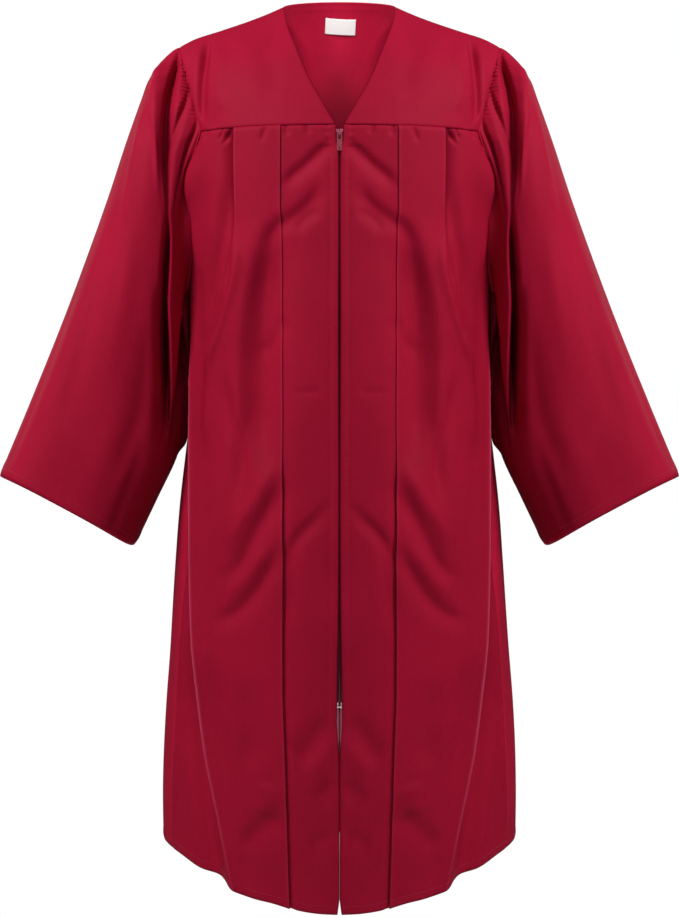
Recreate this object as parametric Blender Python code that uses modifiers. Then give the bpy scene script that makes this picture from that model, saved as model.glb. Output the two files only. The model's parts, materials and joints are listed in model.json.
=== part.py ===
"""Graduation gown: a worn, hollow form in crimson cloth with a front zip.

Metres, +Z up. The front faces -Y and +X is the wearer's left. The origin lies midway
between the two points where neck and shoulder seams meet, which is where a wearer's
shoulders carry the gown. Left and right are the wearer's.
"""
import math
from functools import lru_cache

import bmesh
import bpy
import numpy as np
from mathutils import Matrix, Vector

MM = 0.001

# Driving sizes
GOWN_LENGTH = 1143 * MM          # side neck point to the centre of the front hem
NECK_HALF_WIDTH = 72 * MM
BACK_NECK_DEPTH = 75 * MM
BACK_NECK_RISE = 17 * MM
YOKE_SEAM_HEIGHT = -158 * MM
YOKE_CORNER_HEIGHT = -163 * MM
UNDERARM_HEIGHT = -283 * MM
SIDE_HEM_HEIGHT = -1096 * MM
CLOTH = 1.2 * MM                 # wall thickness
SEAM_GAP = 0.5 * MM              # between pieces that meet edge to edge
SIDE_SEAM_GAP = 1.2 * MM         # the side seam lies in a valley, where walls lean together
RIDGE_GAP = 1.2 * MM             # between pieces that meet at a steep angle
ARMHOLE_GAP = 1.5 * MM
UNDERARM_GAP = 2.1 * MM
LAYER_STEP = 1.9 * MM            # from one layer of a folded pleat to the next
FOLD_NOSE = 0.95 * MM            # how far a folded edge reaches past its fold line
PLEAT_UNDERLAP = 9 * MM

CRIMSON = (0.34, 0.012, 0.042, 1.0)
TAPE_CRIMSON = (0.25, 0.03, 0.06, 1.0)
PAINTED_CRIMSON = (0.42, 0.03, 0.07, 1.0)
STEEL = (0.62, 0.61, 0.60, 1.0)
LABEL_WHITE = (0.85, 0.84, 0.83, 1.0)

# Sections through the body. One row for each height, in millimetres.
# height: Z. width: half width. side: Y of the widest point. front, back: Y at the centre.
# front_round, back_round: exponent of the superellipse, 2 for a plain ellipse.
SECTION_COLUMNS = ("height", "width", "side", "front", "back", "front_round", "back_round")
SECTIONS = (
    (-158, 196, 10, -112, 108, 2.60, 2.60),
    (-222, 199, 8, -119, 116, 2.60, 2.50),
    (-283, 199, 12, -126, 121, 2.50, 2.40),
    (-330, 194, 15, -131, 124, 2.45, 2.35),
    (-376, 190, 18, -136, 127, 2.45, 2.30),
    (-440, 190, 22, -141, 130, 2.45, 2.25),
    (-504, 194, 26, -146, 133, 2.45, 2.20),
    (-576, 203, 30, -151, 137, 2.35, 2.20),
    (-643, 211, 30, -155, 140, 2.30, 2.20),
    (-724, 218, 30, -159, 144, 2.25, 2.20),
    (-833, 226, 30, -164, 149, 2.20, 2.10),
    (-915, 233, 30, -167, 153, 2.10, 2.10),
    (-1025, 238, 30, -171, 158, 2.10, 2.10),
    (-1143, 237, 30, -175, 162, 2.10, 2.10),
)

# The long fold at each side of the front: a ridge, with a valley behind it.
# base: half width of the section under the ridge. apart: ridge to valley round the body.
SIDE_FOLD_COLUMNS = ("height", "base", "ridge", "valley", "apart")
SIDE_FOLD = (
    (-163, 170, 0, 0, 26),
    (-283, 196, 0, 0, 26),
    (-330, 189, 3, 4, 26),
    (-376, 185, 8, 8, 26),
    (-440, 185, 9, 10, 26),
    (-504, 187, 8, 13, 27),
    (-630, 188, 7, 18, 28),
    (-706, 185, 7, 21, 30),
    (-808, 179, 7, 21, 32),
    (-883, 168, 6, 19, 32),
    (-959, 161, 6, 17, 32),
    (-1008, 148, 5, 15, 32),
    (-1070, 131, 5, 13, 32),
    (-1143, 115, 4, 11, 32),
)
RIDGE_SPREAD = 13 * MM
VALLEY_SPREAD = 15 * MM

# Where the edges of the front and back panels run, by height in millimetres.
# zip_gap: half the slit. pleat_in, pleat_out: fold lines, round the body from the centre.
# seam: how far the side seam lies before the widest point.
EDGE_COLUMNS = ("height", "zip_gap", "pleat_in", "pleat_out", "seam")
EDGES = (
    (-158, 4.6, 74, 138, 6),
    (-178, 3.9, 74, 138, 6),
    (-193, 1.7, 74, 138, 6),
    (-260, 0.8, 74, 137, 6),
    (-300, 1.5, 73, 139, 10),
    (-376, 1.6, 73, 143, 34),
    (-504, 1.6, 72, 142, 46),
    (-630, 1.7, 72, 136, 72),
    (-720, 1.8, 72, 130, 82),
    (-870, 3.6, 72, 120, 85),
    (-900, 3.6, 71, 117, 85),
    (-954, 0.4, 69, 113, 85),
    (-1126, 0.4, 64, 101, 85),
    (-1143, 2.6, 63, 100, 85),
)

# Y of the armhole edge on the body panels, by height in millimetres.
ARMHOLE_COLUMNS = ("height", "front", "back")
ARMHOLE = (
    (-163, -62, 60),
    (-190, -60, 60),
    (-215, -54, 57),
    (-240, -43, 50),
    (-262, -27, 36),
)

# Rise of the hem over its lowest point, by the angle round the body: 0 front, 180 back.
HEM_COLUMNS = ("angle", "rise")
HEM = ((0, 0), (6, 1), (12, 4), (20, 11), (29, 16), (38, 28), (46, 37), (56, 46), (72, 50),
       (90, 45), (120, 28), (150, 13), (180, 7))

# Edges of the yokes: half width, depth and height in millimetres.
SHOULDER_RIDGE = ((72, 0, 0), (94, 0, -9.5), (116, 0, -17.8), (154, 0, -30.5), (190, 0, -42.5),
                  (207, 0, -51.5))
NECK_EDGE = ((72, 0, 0), (66, -30, -27), (54, -60, -59), (37.5, -85, -99), (20, -100, -131),
             (4.6, -112, -158))
FRONT_ARMHOLE_EDGE = ((207, 0, -51.5), (200, -21, -76), (191, -40, -108), (182, -54, -137))
BACK_ARMHOLE_EDGE = ((207, 0, -51.5), (202, 20, -76), (195, 39, -106), (188, 52, -136))

# Rings of the sleeve after the armhole. top and low: outer line and underarm line.
# front, back: depth of the ring each way. lift: how far its front rises.
SLEEVE_COLUMNS = ("along", "top_x", "top_z", "low_x", "low_y", "low_z", "front", "back", "lift")
SLEEVE_RINGS = (
    (0.00, 208, -52, 201, 8, -282, 68, 72, 0),
    (0.05, 228, -63, 201, 9, -308, 77, 79, 0),
    (0.12, 242, -85, 198, 12, -345, 86, 88, 0),
    (0.22, 256, -121, 197, 16, -392, 95, 96, 0),
    (0.34, 276, -176, 198, 20, -442, 101, 102, 0),
    (0.46, 299, -244, 200, 23, -492, 104, 105, 2),
    (0.58, 327, -322, 206, 22, -542, 105, 107, 5),
    (0.70, 358, -404, 217, 18, -584, 107, 109, 9),
    (0.85, 398, -502, 242, 8, -638, 109, 111, 14),
    (1.00, 442, -604, 270, 0, -697, 112, 112, 17),
)
SLEEVE_ROUND = 2.35

# Soft folds in the cloth, in millimetres: from one point to the other on the panel, as
# distance from the centre line and height. deep is inward, and a ridge has it negative.
FOLD_COLUMNS = ("from_x", "from_z", "to_x", "to_z", "spread", "deep")
FRONT_FOLDS = (
    (20, -172, 50, -212, 7, 2.2),
    (16, -202, 48, -264, 9, 3.0),
    (48, -264, 106, -312, 12, 4.0),
    (106, -312, 116, -395, 14, 5.5),
    (116, -395, 122, -505, 18, 4.0),
    (136, -262, 140, -365, 11, -4.0),
    (140, -365, 156, -430, 14, -3.0),
    (96, -160, 94, -235, 6, 1.8),
    (150, -164, 153, -240, 7, 2.4),
    (76, -612, 136, -765, 17, 4.5),
    (82, -690, 148, -770, 14, 3.0),
    (16, -625, 60, -684, 12, 2.5),
    (176, -430, 150, -620, 16, 3.5),
    (30, -900, 58, -985, 16, 2.5),
    (120, -860, 132, -1090, 20, -4.0),
    (205, -820, 215, -1080, 22, 5.0),
)
BACK_FOLDS = (
    (30, -330, 48, -1120, 26, 9.0),
    (88, -360, 118, -1110, 28, 11.0),
    (150, -420, 186, -1100, 28, 10.0),
    (60, -420, 82, -1120, 26, -7.0),
    (122, -500, 154, -1105, 26, -8.0),
    (176, -560, 224, -1095, 26, -7.0),
)
BACK_GATHERS = 18
BACK_GATHER_HEIGHT = 3.4 * MM
BACK_GATHER_LENGTH = 150 * MM

# Folds of the sleeve: place round the ring in degrees (0 outer line, 90 front, 180 underarm,
# 270 back) and place along the sleeve, from the first to the last.
SLEEVE_FOLD_COLUMNS = ("from_angle", "from_along", "to_angle", "to_along", "spread", "deep")
SLEEVE_FOLDS = (
    (152, 0.06, 154, 0.66, 8, 13.0),
    (38, 0.06, 52, 0.42, 10, 5.0),
    (84, 0.03, 98, 0.40, 10, 6.0),
    (62, 0.30, 66, 1.02, 14, 4.0),
    (112, 0.38, 108, 1.02, 13, 5.0),
    (88, 0.45, 86, 1.02, 12, -3.0),
    (322, 0.06, 308, 0.50, 11, 5.0),
    (274, 0.04, 266, 0.45, 11, 7.0),
    (296, 0.36, 292, 1.02, 14, 5.0),
    (246, 0.40, 250, 1.02, 13, 5.0),
    (208, 0.10, 206, 0.70, 9, 9.0),
)
CAP_GATHERS = 12
CAP_GATHER_ANGLES = (-104, 76)
CAP_GATHER_HEIGHT = 3.2 * MM
CAP_GATHER_REACH = 0.20

# Zip, along its own line: down the cloth, and out from it
SLIDER_HEIGHT = -171.8 * MM
SLIDER_SIZE = (6.6 * MM, 4.2 * MM, 11.7 * MM)
SLIDER_FACE = 1.5 * MM
BRIDGE_RADIUS = 3.3 * MM
BRIDGE_WIRE = 0.6 * MM
TAB_PIVOT_RISE = 0.9 * MM
TAB_PIVOT_OUT = 1.2 * MM
TAB_HALF_WIDTH = 3.3 * MM
TAB_LENGTH = 21 * MM
TAB_THICKNESS = 1.0 * MM
TAB_BAR = 1.2 * MM
TAB_WINDOW = (1.6 * MM, 5.9 * MM)
TAB_HOLE_RADIUS = 0.9 * MM
CHAIN_WIDTH = 5.0 * MM
CHAIN_THICKNESS = 1.6 * MM
CHAIN_DEPTH = 2.0 * MM
CHAIN_END = -874 * MM
CHAIN_END_GAP = 0.6 * MM
STOP_RISE = 0.4 * MM             # how far the stop stands out in front of the chain's middle
STOP_SIZE = (6.2 * MM, 2.4 * MM, 8.0 * MM)
TAPE_REACH = (0.5 * MM, 14 * MM)
TAPE_THICKNESS = 0.8 * MM
TAPE_DEPTH = 3.6 * MM
TAPE_ENDS = (-164 * MM, -948 * MM)

LABEL_SIZE = (41 * MM, 20 * MM)
LABEL_CENTRE = (1.3 * MM, -14.2 * MM)
LABEL_TILT = math.radians(3)
LABEL_THICKNESS = 1.0 * MM
LABEL_STAND = 1.25 * MM


def smooth_value(rows, columns, name, key):
    """Read a column of a table at key, with a smooth curve through its rows."""
    keys = np.array([row[0] for row in rows], dtype=float)
    values = np.array([row[columns.index(name)] for row in rows], dtype=float)
    if keys[0] > keys[-1]:
        keys, values = keys[::-1], values[::-1]
    slopes = np.gradient(values, keys)
    key = min(max(key, keys[0]), keys[-1])
    i = int(np.clip(np.searchsorted(keys, key) - 1, 0, len(keys) - 2))
    step = keys[i + 1] - keys[i]
    t = (key - keys[i]) / step
    start, end = 2 * t**3 - 3 * t**2 + 1, 3 * t**2 - 2 * t**3
    leave, arrive = t**3 - 2 * t**2 + t, t**3 - t**2
    return (start * values[i] + end * values[i + 1]
            + step * (leave * slopes[i] + arrive * slopes[i + 1]))


def straight_value(rows, columns, name, key):
    """Read a column of a table at key, with straight lines between its rows."""
    keys = np.array([row[0] for row in rows], dtype=float)
    values = np.array([row[columns.index(name)] for row in rows], dtype=float)
    order = np.argsort(keys)
    return float(np.interp(key, keys[order], values[order]))


def along_points(points, t):
    """A point at the fraction t of a smooth line through points given in millimetres."""
    knots = np.array(points, dtype=float) * MM
    lengths = np.r_[0, np.cumsum(np.linalg.norm(np.diff(knots, axis=0), axis=1))]
    rows = [tuple([length, *knot]) for length, knot in zip(lengths / lengths[-1], knots)]
    names = ("length", "x", "y", "z")
    return np.array([smooth_value(rows, names, name, t) for name in names[1:]])


def smooth_step(t):
    t = min(max(t, 0.0), 1.0)
    return t * t * (3 - 2 * t)


@lru_cache(maxsize=None)
def body_section(height_mm):
    """Half a section of the body, from the front centre by the side to the back centre."""
    row = {name: smooth_value(SECTIONS, SECTION_COLUMNS, name, height_mm)
           for name in SECTION_COLUMNS[1:]}
    angle = np.radians(np.linspace(0, 180, 241))
    in_front = angle <= math.pi / 2
    power = np.where(in_front, 2 / row["front_round"], 2 / row["back_round"])
    depth = np.where(in_front, row["side"] - row["front"], row["back"] - row["side"])
    x = row["width"] * np.sin(angle).clip(0) ** power
    y = row["side"] - depth * np.sign(np.cos(angle)) * np.abs(np.cos(angle)) ** power
    round_body = np.r_[0, np.cumsum(np.hypot(np.diff(x), np.diff(y)))]
    along_x, along_y = np.gradient(x, round_body), np.gradient(y, round_body)
    size = np.hypot(along_x, along_y)
    fold = {name: smooth_value(SIDE_FOLD, SIDE_FOLD_COLUMNS, name, height_mm)
            for name in SIDE_FOLD_COLUMNS[1:]}
    side = float(round_body[120])
    ridge_at = float(np.interp(fold["base"], x[:121], round_body[:121]))
    from_ridge = (round_body - ridge_at) * MM
    from_valley = from_ridge - fold["apart"] * MM
    lift = (fold["ridge"] * np.exp(-(from_ridge / RIDGE_SPREAD) ** 2)
            - fold["valley"] * np.exp(-(from_valley / VALLEY_SPREAD) ** 2))
    out_x, out_y = along_y / size, -along_x / size
    return {"round": round_body * MM, "x": (x + out_x * lift) * MM, "y": (y + out_y * lift) * MM,
            "base_y": y * MM, "out_x": out_x, "out_y": out_y, "side": side * MM,
            "angle": np.degrees(angle)}


def section_at(height):
    return body_section(round(height / MM, 2))


def body_point(height, around, lift=0.0, side=1):
    """A point on the body at a height, so far round from the front centre, moved out by lift."""
    section = section_at(height)
    read = [float(np.interp(around, section["round"], section[name]))
            for name in ("x", "y", "out_x", "out_y")]
    return np.array([side * (read[0] + read[2] * lift), read[1] + read[3] * lift, height])


def edge(name, height):
    return straight_value(EDGES, EDGE_COLUMNS, name, height / MM) * MM


def seam_around(height):
    """How far round the body the side seam lies."""
    return section_at(height)["side"] - edge("seam", height)


def armhole_around(height, face):
    """How far round the body the armhole's edge lies, on the front or the back panel."""
    section = section_at(height)
    if height <= UNDERARM_HEIGHT:
        return seam_around(height)
    last = ARMHOLE[-1]
    depth = straight_value(ARMHOLE, ARMHOLE_COLUMNS, face, height / MM) * MM
    around = float(np.interp(depth, section["base_y"], section["round"]))
    below = (height / MM - last[0]) / (UNDERARM_HEIGHT / MM - last[0])
    if below <= 0:
        return around
    return around + (seam_around(height) - around) * below ** 1.5


@lru_cache(maxsize=None)
def hem_height(around_mm):
    """Height of the hem, so far round the body from the front centre."""
    section = section_at(SIDE_HEM_HEIGHT)
    angle = float(np.interp(around_mm * MM, section["round"], section["angle"]))
    return smooth_value(HEM, HEM_COLUMNS, "rise", angle) * MM - GOWN_LENGTH


def fold_depth(folds, columns, across, along, scale=1.0):
    """How far the folds of a table move the cloth out at one place, in metres."""
    total = 0.0
    for row in folds:
        fold = dict(zip(columns, row))
        keys = list(fold)
        start = np.array([fold[keys[0]], fold[keys[1]] * scale])
        end = np.array([fold[keys[2]], fold[keys[3]] * scale])
        run = end - start
        place = np.array([across, along * scale]) - start
        t = float(place @ run / (run @ run))
        away = abs(float(place[0] * run[1] - place[1] * run[0])) / math.hypot(*run)
        fade = smooth_step((t + 0.15) / 0.3) * smooth_step((1.15 - t) / 0.3)
        total -= fold["deep"] * fade * math.exp(-(away / fold["spread"]) ** 2)
    return total * MM


def material(name, colour, roughness, metallic=0.0):
    made = bpy.data.materials.new(name)
    made.use_nodes = True
    shader = made.node_tree.nodes["Principled BSDF"]
    shader.inputs["Base Color"].default_value = colour
    shader.inputs["Roughness"].default_value = roughness
    shader.inputs["Metallic"].default_value = metallic
    made.diffuse_color = colour
    return made


def cloth_piece(name, columns, rows, place, finish, collection, wall=CLOTH, closed=False):
    """A grid of cloth whose corners go where place says, given a wall by Solidify."""
    mesh = bpy.data.meshes.new(name)
    bm = bmesh.new()
    bmesh.ops.create_grid(bm, x_segments=columns, y_segments=rows, size=0.5)
    for vert in bm.verts:
        column = round((vert.co.x + 0.5) * columns)
        row = round((0.5 - vert.co.y) * rows)
        vert.co = Vector(place(column, row))
    if closed:
        bmesh.ops.remove_doubles(bm, verts=bm.verts, dist=0.01 * MM)
    bm.to_mesh(mesh)
    bm.free()
    piece = bpy.data.objects.new(name, mesh)
    collection.objects.link(piece)
    mesh.materials.append(finish)
    mesh.shade_smooth()
    solidify = piece.modifiers.new("wall", "SOLIDIFY")
    solidify.thickness = wall
    solidify.offset = 0.0
    return piece


# Columns of a front panel: even ones in the centre, the strip and the outer part, and between
# them the folds of the box pleat as distance from the fold line and layer.
CENTRE_COLUMNS = 6
STRIP_COLUMNS = 4
OUTER_COLUMNS = 12
INNER_FOLD = ((1, 0, 0.0), (1, 1, 0.5), (1, 0, 1.0), (0, 0, 1.0), (0, -1, 1.5), (0, 0, 2.0))
OUTER_FOLD = ((0, 0, 2.0), (0, 1, 1.5), (0, 0, 1.0), (-1, 0, 1.0), (-1, -1, 0.5), (-1, 0, 0.0))
OPEN_FOLD = ((0, 2.0), (4, 1.7), (8, 1.2), (12, 0.7), (17, 0.25), (24, 0.0))
SKIRT_ROW_HEIGHTS = (-283, -308, -340, -380, -425, -475, -530, -585, -645, -710, -780, -850, -920,
                     -985, -1045, -1096)
FRONT_ROW_HEIGHTS = (-163, -181, -194, -215, -240, -262) + SKIRT_ROW_HEIGHTS
PLEAT_OPENS = (-236 * MM, -285 * MM)
FRONT_COLUMNS = CENTRE_COLUMNS + len(INNER_FOLD) + STRIP_COLUMNS + len(OUTER_FOLD) + OUTER_COLUMNS - 2


def front_column(column, height):
    """How far round the body a column of the front panel lies at a height, and its layer."""
    pleat_in, pleat_out = edge("pleat_in", height), edge("pleat_out", height)
    if column < CENTRE_COLUMNS:
        start = edge("zip_gap", height)
        return start + (pleat_in - start) * column / CENTRE_COLUMNS, 0.0
    column -= CENTRE_COLUMNS
    if column < len(INNER_FOLD):
        under, nose, layer = INNER_FOLD[column]
        return pleat_in + under * PLEAT_UNDERLAP + nose * FOLD_NOSE, layer
    column -= len(INNER_FOLD) - 1
    if column < STRIP_COLUMNS:
        return pleat_in + (pleat_out - pleat_in) * column / STRIP_COLUMNS, 2.0
    column -= STRIP_COLUMNS
    opening = (PLEAT_OPENS[0] - height) / (PLEAT_OPENS[0] - PLEAT_OPENS[1])
    underlap = PLEAT_UNDERLAP + (1.5 * MM - PLEAT_UNDERLAP) * min(max(opening, 0.0), 1.0)
    opened = opening > 1.05
    if column < len(OUTER_FOLD):
        if opened:
            away, layer = OPEN_FOLD[column]
            return pleat_out + away * MM, layer
        under, nose, layer = OUTER_FOLD[column]
        return pleat_out + under * underlap + nose * FOLD_NOSE, layer
    column -= len(OUTER_FOLD) - 1
    start = pleat_out + (OPEN_FOLD[-1][0] * MM if opened else -underlap)
    end = armhole_around(height, "front") - SIDE_SEAM_GAP / 2
    return start + (end - start) * column / OUTER_COLUMNS, 0.0


def front_panel(name, side, finish, collection):
    rows = len(FRONT_ROW_HEIGHTS) - 1
    top, bottom = FRONT_ROW_HEIGHTS[0], FRONT_ROW_HEIGHTS[-1]

    def place(column, row):
        down = (FRONT_ROW_HEIGHTS[row] - top) / (bottom - top)
        hem_around, _ = front_column(column, SIDE_HEM_HEIGHT)
        hem = hem_height(round(hem_around / MM, 1))
        top_around, _ = front_column(column, YOKE_SEAM_HEIGHT)
        start = yoke_seam_height(top_around, "front") - SEAM_GAP
        height = start + (hem - start) * down
        around, layer = front_column(column, height)
        soft = fold_depth(FRONT_FOLDS, FOLD_COLUMNS, around / MM, height / MM)
        soft *= smooth_step(down * 40)
        return body_point(height, around, layer * LAYER_STEP + soft, side)

    return cloth_piece(name, FRONT_COLUMNS, rows, place, finish, collection)


def yoke_seam_height(around, face):
    """Height of the yoke seam: level in the middle, a little lower at the armhole."""
    section = section_at(YOKE_SEAM_HEIGHT)
    middle = 0.0 if face == "front" else float(section["round"][-1])
    corner = armhole_around(YOKE_CORNER_HEIGHT, face)
    reach = min(max((around - middle) / (corner - middle), 0.0), 1.0)
    return YOKE_SEAM_HEIGHT + (YOKE_CORNER_HEIGHT - YOKE_SEAM_HEIGHT) * reach ** 2


BACK_HALF_COLUMNS = 20
BACK_ROW_HEIGHTS = (-163, -176, -196, -222, -252) + SKIRT_ROW_HEIGHTS


def back_panel(name, finish, collection):
    rows = len(BACK_ROW_HEIGHTS) - 1
    top, bottom = BACK_ROW_HEIGHTS[0], BACK_ROW_HEIGHTS[-1]

    def around_at(share, height):
        section = section_at(height)
        middle = float(section["round"][-1])
        end = armhole_around(height, "back") + SIDE_SEAM_GAP / 2
        return middle + (end - middle) * abs(share)

    def place(column, row):
        share = column / BACK_HALF_COLUMNS - 1
        side = 1 if share >= 0 else -1
        down = (BACK_ROW_HEIGHTS[row] - top) / (bottom - top)
        hem = hem_height(round(around_at(share, SIDE_HEM_HEIGHT) / MM, 1))
        start = yoke_seam_height(around_at(share, YOKE_SEAM_HEIGHT), "back") - SEAM_GAP
        height = start + (hem - start) * down
        around = around_at(share, height)
        from_middle = float(section_at(height)["round"][-1]) - around
        soft = fold_depth(BACK_FOLDS, FOLD_COLUMNS, from_middle / MM, height / MM)
        edge_fade = smooth_step((1 - abs(share)) / 0.12)
        below = start - height
        gather = math.cos(math.pi * BACK_GATHERS * share) * BACK_GATHER_HEIGHT * edge_fade
        gather *= smooth_step(below / (12 * MM)) * math.exp(-below / BACK_GATHER_LENGTH)
        return body_point(height, around, soft * edge_fade + gather, side)

    return cloth_piece(name, 2 * BACK_HALF_COLUMNS, rows, place, finish, collection)


def yoke_patch(edges, across, down):
    """A surface through four edges: inner, outer, top and bottom, as functions of a share."""
    inner, outer, top, bottom = edges
    sides = (1 - across) * inner(down) + across * outer(down)
    ends = (1 - down) * top(across) + down * bottom(across)
    corners = ((1 - across) * (1 - down) * top(0.0) + across * (1 - down) * top(1.0)
               + (1 - across) * down * bottom(0.0) + across * down * bottom(1.0))
    return sides + ends - corners


def front_yoke_point(across, down):
    """A point of the front yoke on the +X side: across from neck to armhole, down to the seam."""
    corner = body_point(YOKE_CORNER_HEIGHT, armhole_around(YOKE_CORNER_HEIGHT, "front"))
    centre = body_point(YOKE_SEAM_HEIGHT, edge("zip_gap", YOKE_SEAM_HEIGHT))

    def bottom(share):
        first = edge("zip_gap", YOKE_SEAM_HEIGHT)
        last = armhole_around(YOKE_CORNER_HEIGHT, "front")
        around = first + (last - first) * share
        return body_point(yoke_seam_height(around, "front"), around)

    def inner(share):
        return along_points((*NECK_EDGE[:-1], tuple(centre / MM)), share)

    def outer(share):
        return along_points((*FRONT_ARMHOLE_EDGE, tuple(corner / MM)), share)

    def top(share):
        return along_points(SHOULDER_RIDGE, share)

    point = yoke_patch((inner, outer, top, bottom), across, down)
    swell = 5 * MM * math.sin(math.pi * across) * math.sin(math.pi * down)
    trough = 3 * MM * math.exp(-((across - 0.66 - 0.1 * down) / 0.09) ** 2) * math.sin(math.pi * down)
    point += np.array([0.0, -0.75, 0.65]) * (swell - trough)
    point[1] -= RIDGE_GAP / 2 * (1 - down) ** 4
    return point


FRONT_YOKE_GRID = (12, 8)


def front_yoke(name, side, finish, collection):
    columns, rows = FRONT_YOKE_GRID

    def place(column, row):
        point = front_yoke_point(column / columns, row / rows)
        return point * np.array([side, 1, 1])

    return cloth_piece(name, columns, rows, place, finish, collection)


NECK_SHARE = 0.38
NECK_COLUMNS = 5
RIDGE_COLUMNS = 7
BACK_YOKE_ROWS = 9


def back_yoke_point(share, down):
    """A point of the back yoke: share from -1 at one armhole to 1 at the other, down to the seam."""
    side = 1 if share >= 0 else -1
    section = section_at(YOKE_SEAM_HEIGHT)
    middle = float(section["round"][-1])
    last = armhole_around(YOKE_CORNER_HEIGHT, "back")
    corner = body_point(YOKE_CORNER_HEIGHT, last)

    def top(reach):
        if reach > NECK_SHARE:
            return along_points(SHOULDER_RIDGE, (reach - NECK_SHARE) / (1 - NECK_SHARE))
        turn = reach / NECK_SHARE * math.pi / 2
        return np.array([NECK_HALF_WIDTH * math.sin(turn), BACK_NECK_DEPTH * math.cos(turn),
                         BACK_NECK_RISE * math.cos(turn)])

    def bottom(reach):
        around = middle + (last - middle) * reach
        return body_point(yoke_seam_height(around, "back"), around)

    def outer(reach):
        return along_points((*BACK_ARMHOLE_EDGE, tuple(corner / MM)), reach)

    def inner(reach):
        return top(0.0) + (bottom(0.0) - top(0.0)) * reach

    reach = abs(share)
    point = yoke_patch((inner, outer, top, bottom), reach, down)
    swell = (9 + 9 * math.exp(-((reach - 0.45) / 0.25) ** 2)) * MM
    swell *= math.sin(math.pi * down) * smooth_step((1 - reach) / 0.4)
    point += np.array([0.0, 0.8, 0.6]) * swell
    on_ridge = smooth_step((reach - NECK_SHARE * 0.8) / 0.08)
    point[1] += RIDGE_GAP / 2 * (1 - down) ** 4 * on_ridge
    return point * np.array([side, 1, 1])


def back_yoke(name, finish, collection):
    half = [NECK_SHARE * k / NECK_COLUMNS for k in range(NECK_COLUMNS)]
    half += [NECK_SHARE + (1 - NECK_SHARE) * k / RIDGE_COLUMNS for k in range(RIDGE_COLUMNS + 1)]
    shares = [-share for share in half[:0:-1]] + half

    def place(column, row):
        return back_yoke_point(shares[column], row / BACK_YOKE_ROWS)

    return cloth_piece(name, len(shares) - 1, BACK_YOKE_ROWS, place, finish, collection)


@lru_cache(maxsize=None)
def armhole_line():
    """Points of the armhole, +X side, from the shoulder by the front to the underarm and on."""
    halves = []
    for face, yoke_edge in (("front", FRONT_ARMHOLE_EDGE), ("back", BACK_ARMHOLE_EDGE)):
        corner = body_point(YOKE_CORNER_HEIGHT, armhole_around(YOKE_CORNER_HEIGHT, face))
        points = [along_points((*yoke_edge, tuple(corner / MM)), k / 8) for k in range(9)]
        drop = UNDERARM_HEIGHT - YOKE_CORNER_HEIGHT
        for k in range(1, 13):
            height = YOKE_CORNER_HEIGHT + drop * k / 12
            points.append(body_point(height, armhole_around(height, face)))
        points = np.array(points)
        lengths = np.r_[0, np.cumsum(np.linalg.norm(np.diff(points, axis=0), axis=1))]
        halves.append((points, lengths / lengths[-1]))
    return halves


def armhole_point(angle):
    """A point of the armhole: 0 shoulder, 90 front, 180 underarm, 270 back."""
    angle = angle % 360
    points, lengths = armhole_line()[0 if angle <= 180 else 1]
    share = angle / 180 if angle <= 180 else (360 - angle) / 180
    return np.array([float(np.interp(share, lengths, points[:, k])) for k in range(3)])


def sleeve_point(angle, along):
    """A point of the sleeve, +X side, by the angle round its ring and the share along it."""
    ring = {name: smooth_value(SLEEVE_RINGS, SLEEVE_COLUMNS, name, along) * MM
            for name in SLEEVE_COLUMNS[1:]}
    top = np.array([ring["top_x"], 0.0, ring["top_z"]])
    low = np.array([ring["low_x"], ring["low_y"], ring["low_z"]])
    turn = math.radians(angle)
    power = 2 / SLEEVE_ROUND
    outward = math.copysign(abs(math.cos(turn)) ** power, math.cos(turn))
    forward = math.copysign(abs(math.sin(turn)) ** power, math.sin(turn))
    depth = ring["front"] if forward > 0 else ring["back"]
    point = (top + low) / 2 + (top - low) / 2 * outward + np.array([0.0, -depth * forward, 0.0])
    point[2] += ring["lift"] * max(forward, 0.0) ** 2
    start = armhole_point(angle)
    start[0] += ARMHOLE_GAP + (UNDERARM_GAP - ARMHOLE_GAP) * (1 - math.cos(turn)) / 2
    start[2] += 1.0 * MM * (1 - math.cos(turn)) / 2
    blend = smooth_step(along / 0.16)
    return start + (point - start) * blend


def sleeve_folded_point(angle, along):
    """The sleeve's point with its folds and cap gathers, moved along the cloth's normal."""
    here = sleeve_point(angle, along)
    beside = sleeve_point(angle + 3, along) - sleeve_point(angle - 3, along)
    onward = sleeve_point(angle, min(along + 0.03, 1.0)) - sleeve_point(angle, max(along - 0.03, 0.0))
    out = np.cross(beside, onward)
    out /= np.linalg.norm(out)
    middle = sleeve_point(0, along) + sleeve_point(180, along)
    if out @ (here - middle / 2) < 0:
        out = -out
    soft = sum(fold_depth(SLEEVE_FOLDS, SLEEVE_FOLD_COLUMNS, angle + turn, along, 100.0)
               for turn in (-360, 0, 360))
    first, last = CAP_GATHER_ANGLES
    place = ((angle + 180) % 360 - 180 - first) / (last - first)
    gather = 0.0
    if 0 < place < 1:
        wave = math.cos(2 * math.pi * CAP_GATHERS * place)
        fade = max(0.0, 1 - along / CAP_GATHER_REACH) ** 1.5
        gather = wave * CAP_GATHER_HEIGHT * fade * smooth_step(along / 0.03)
    near_seam = smooth_step(along / 0.06)
    return here + out * (soft * near_seam + gather)


SLEEVE_PLAIN_COLUMNS = 12
SLEEVE_ROWS = (0.0, 0.03, 0.07, 0.12, 0.18, 0.26, 0.36, 0.46, 0.56, 0.66, 0.77, 0.89, 1.0)


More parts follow.
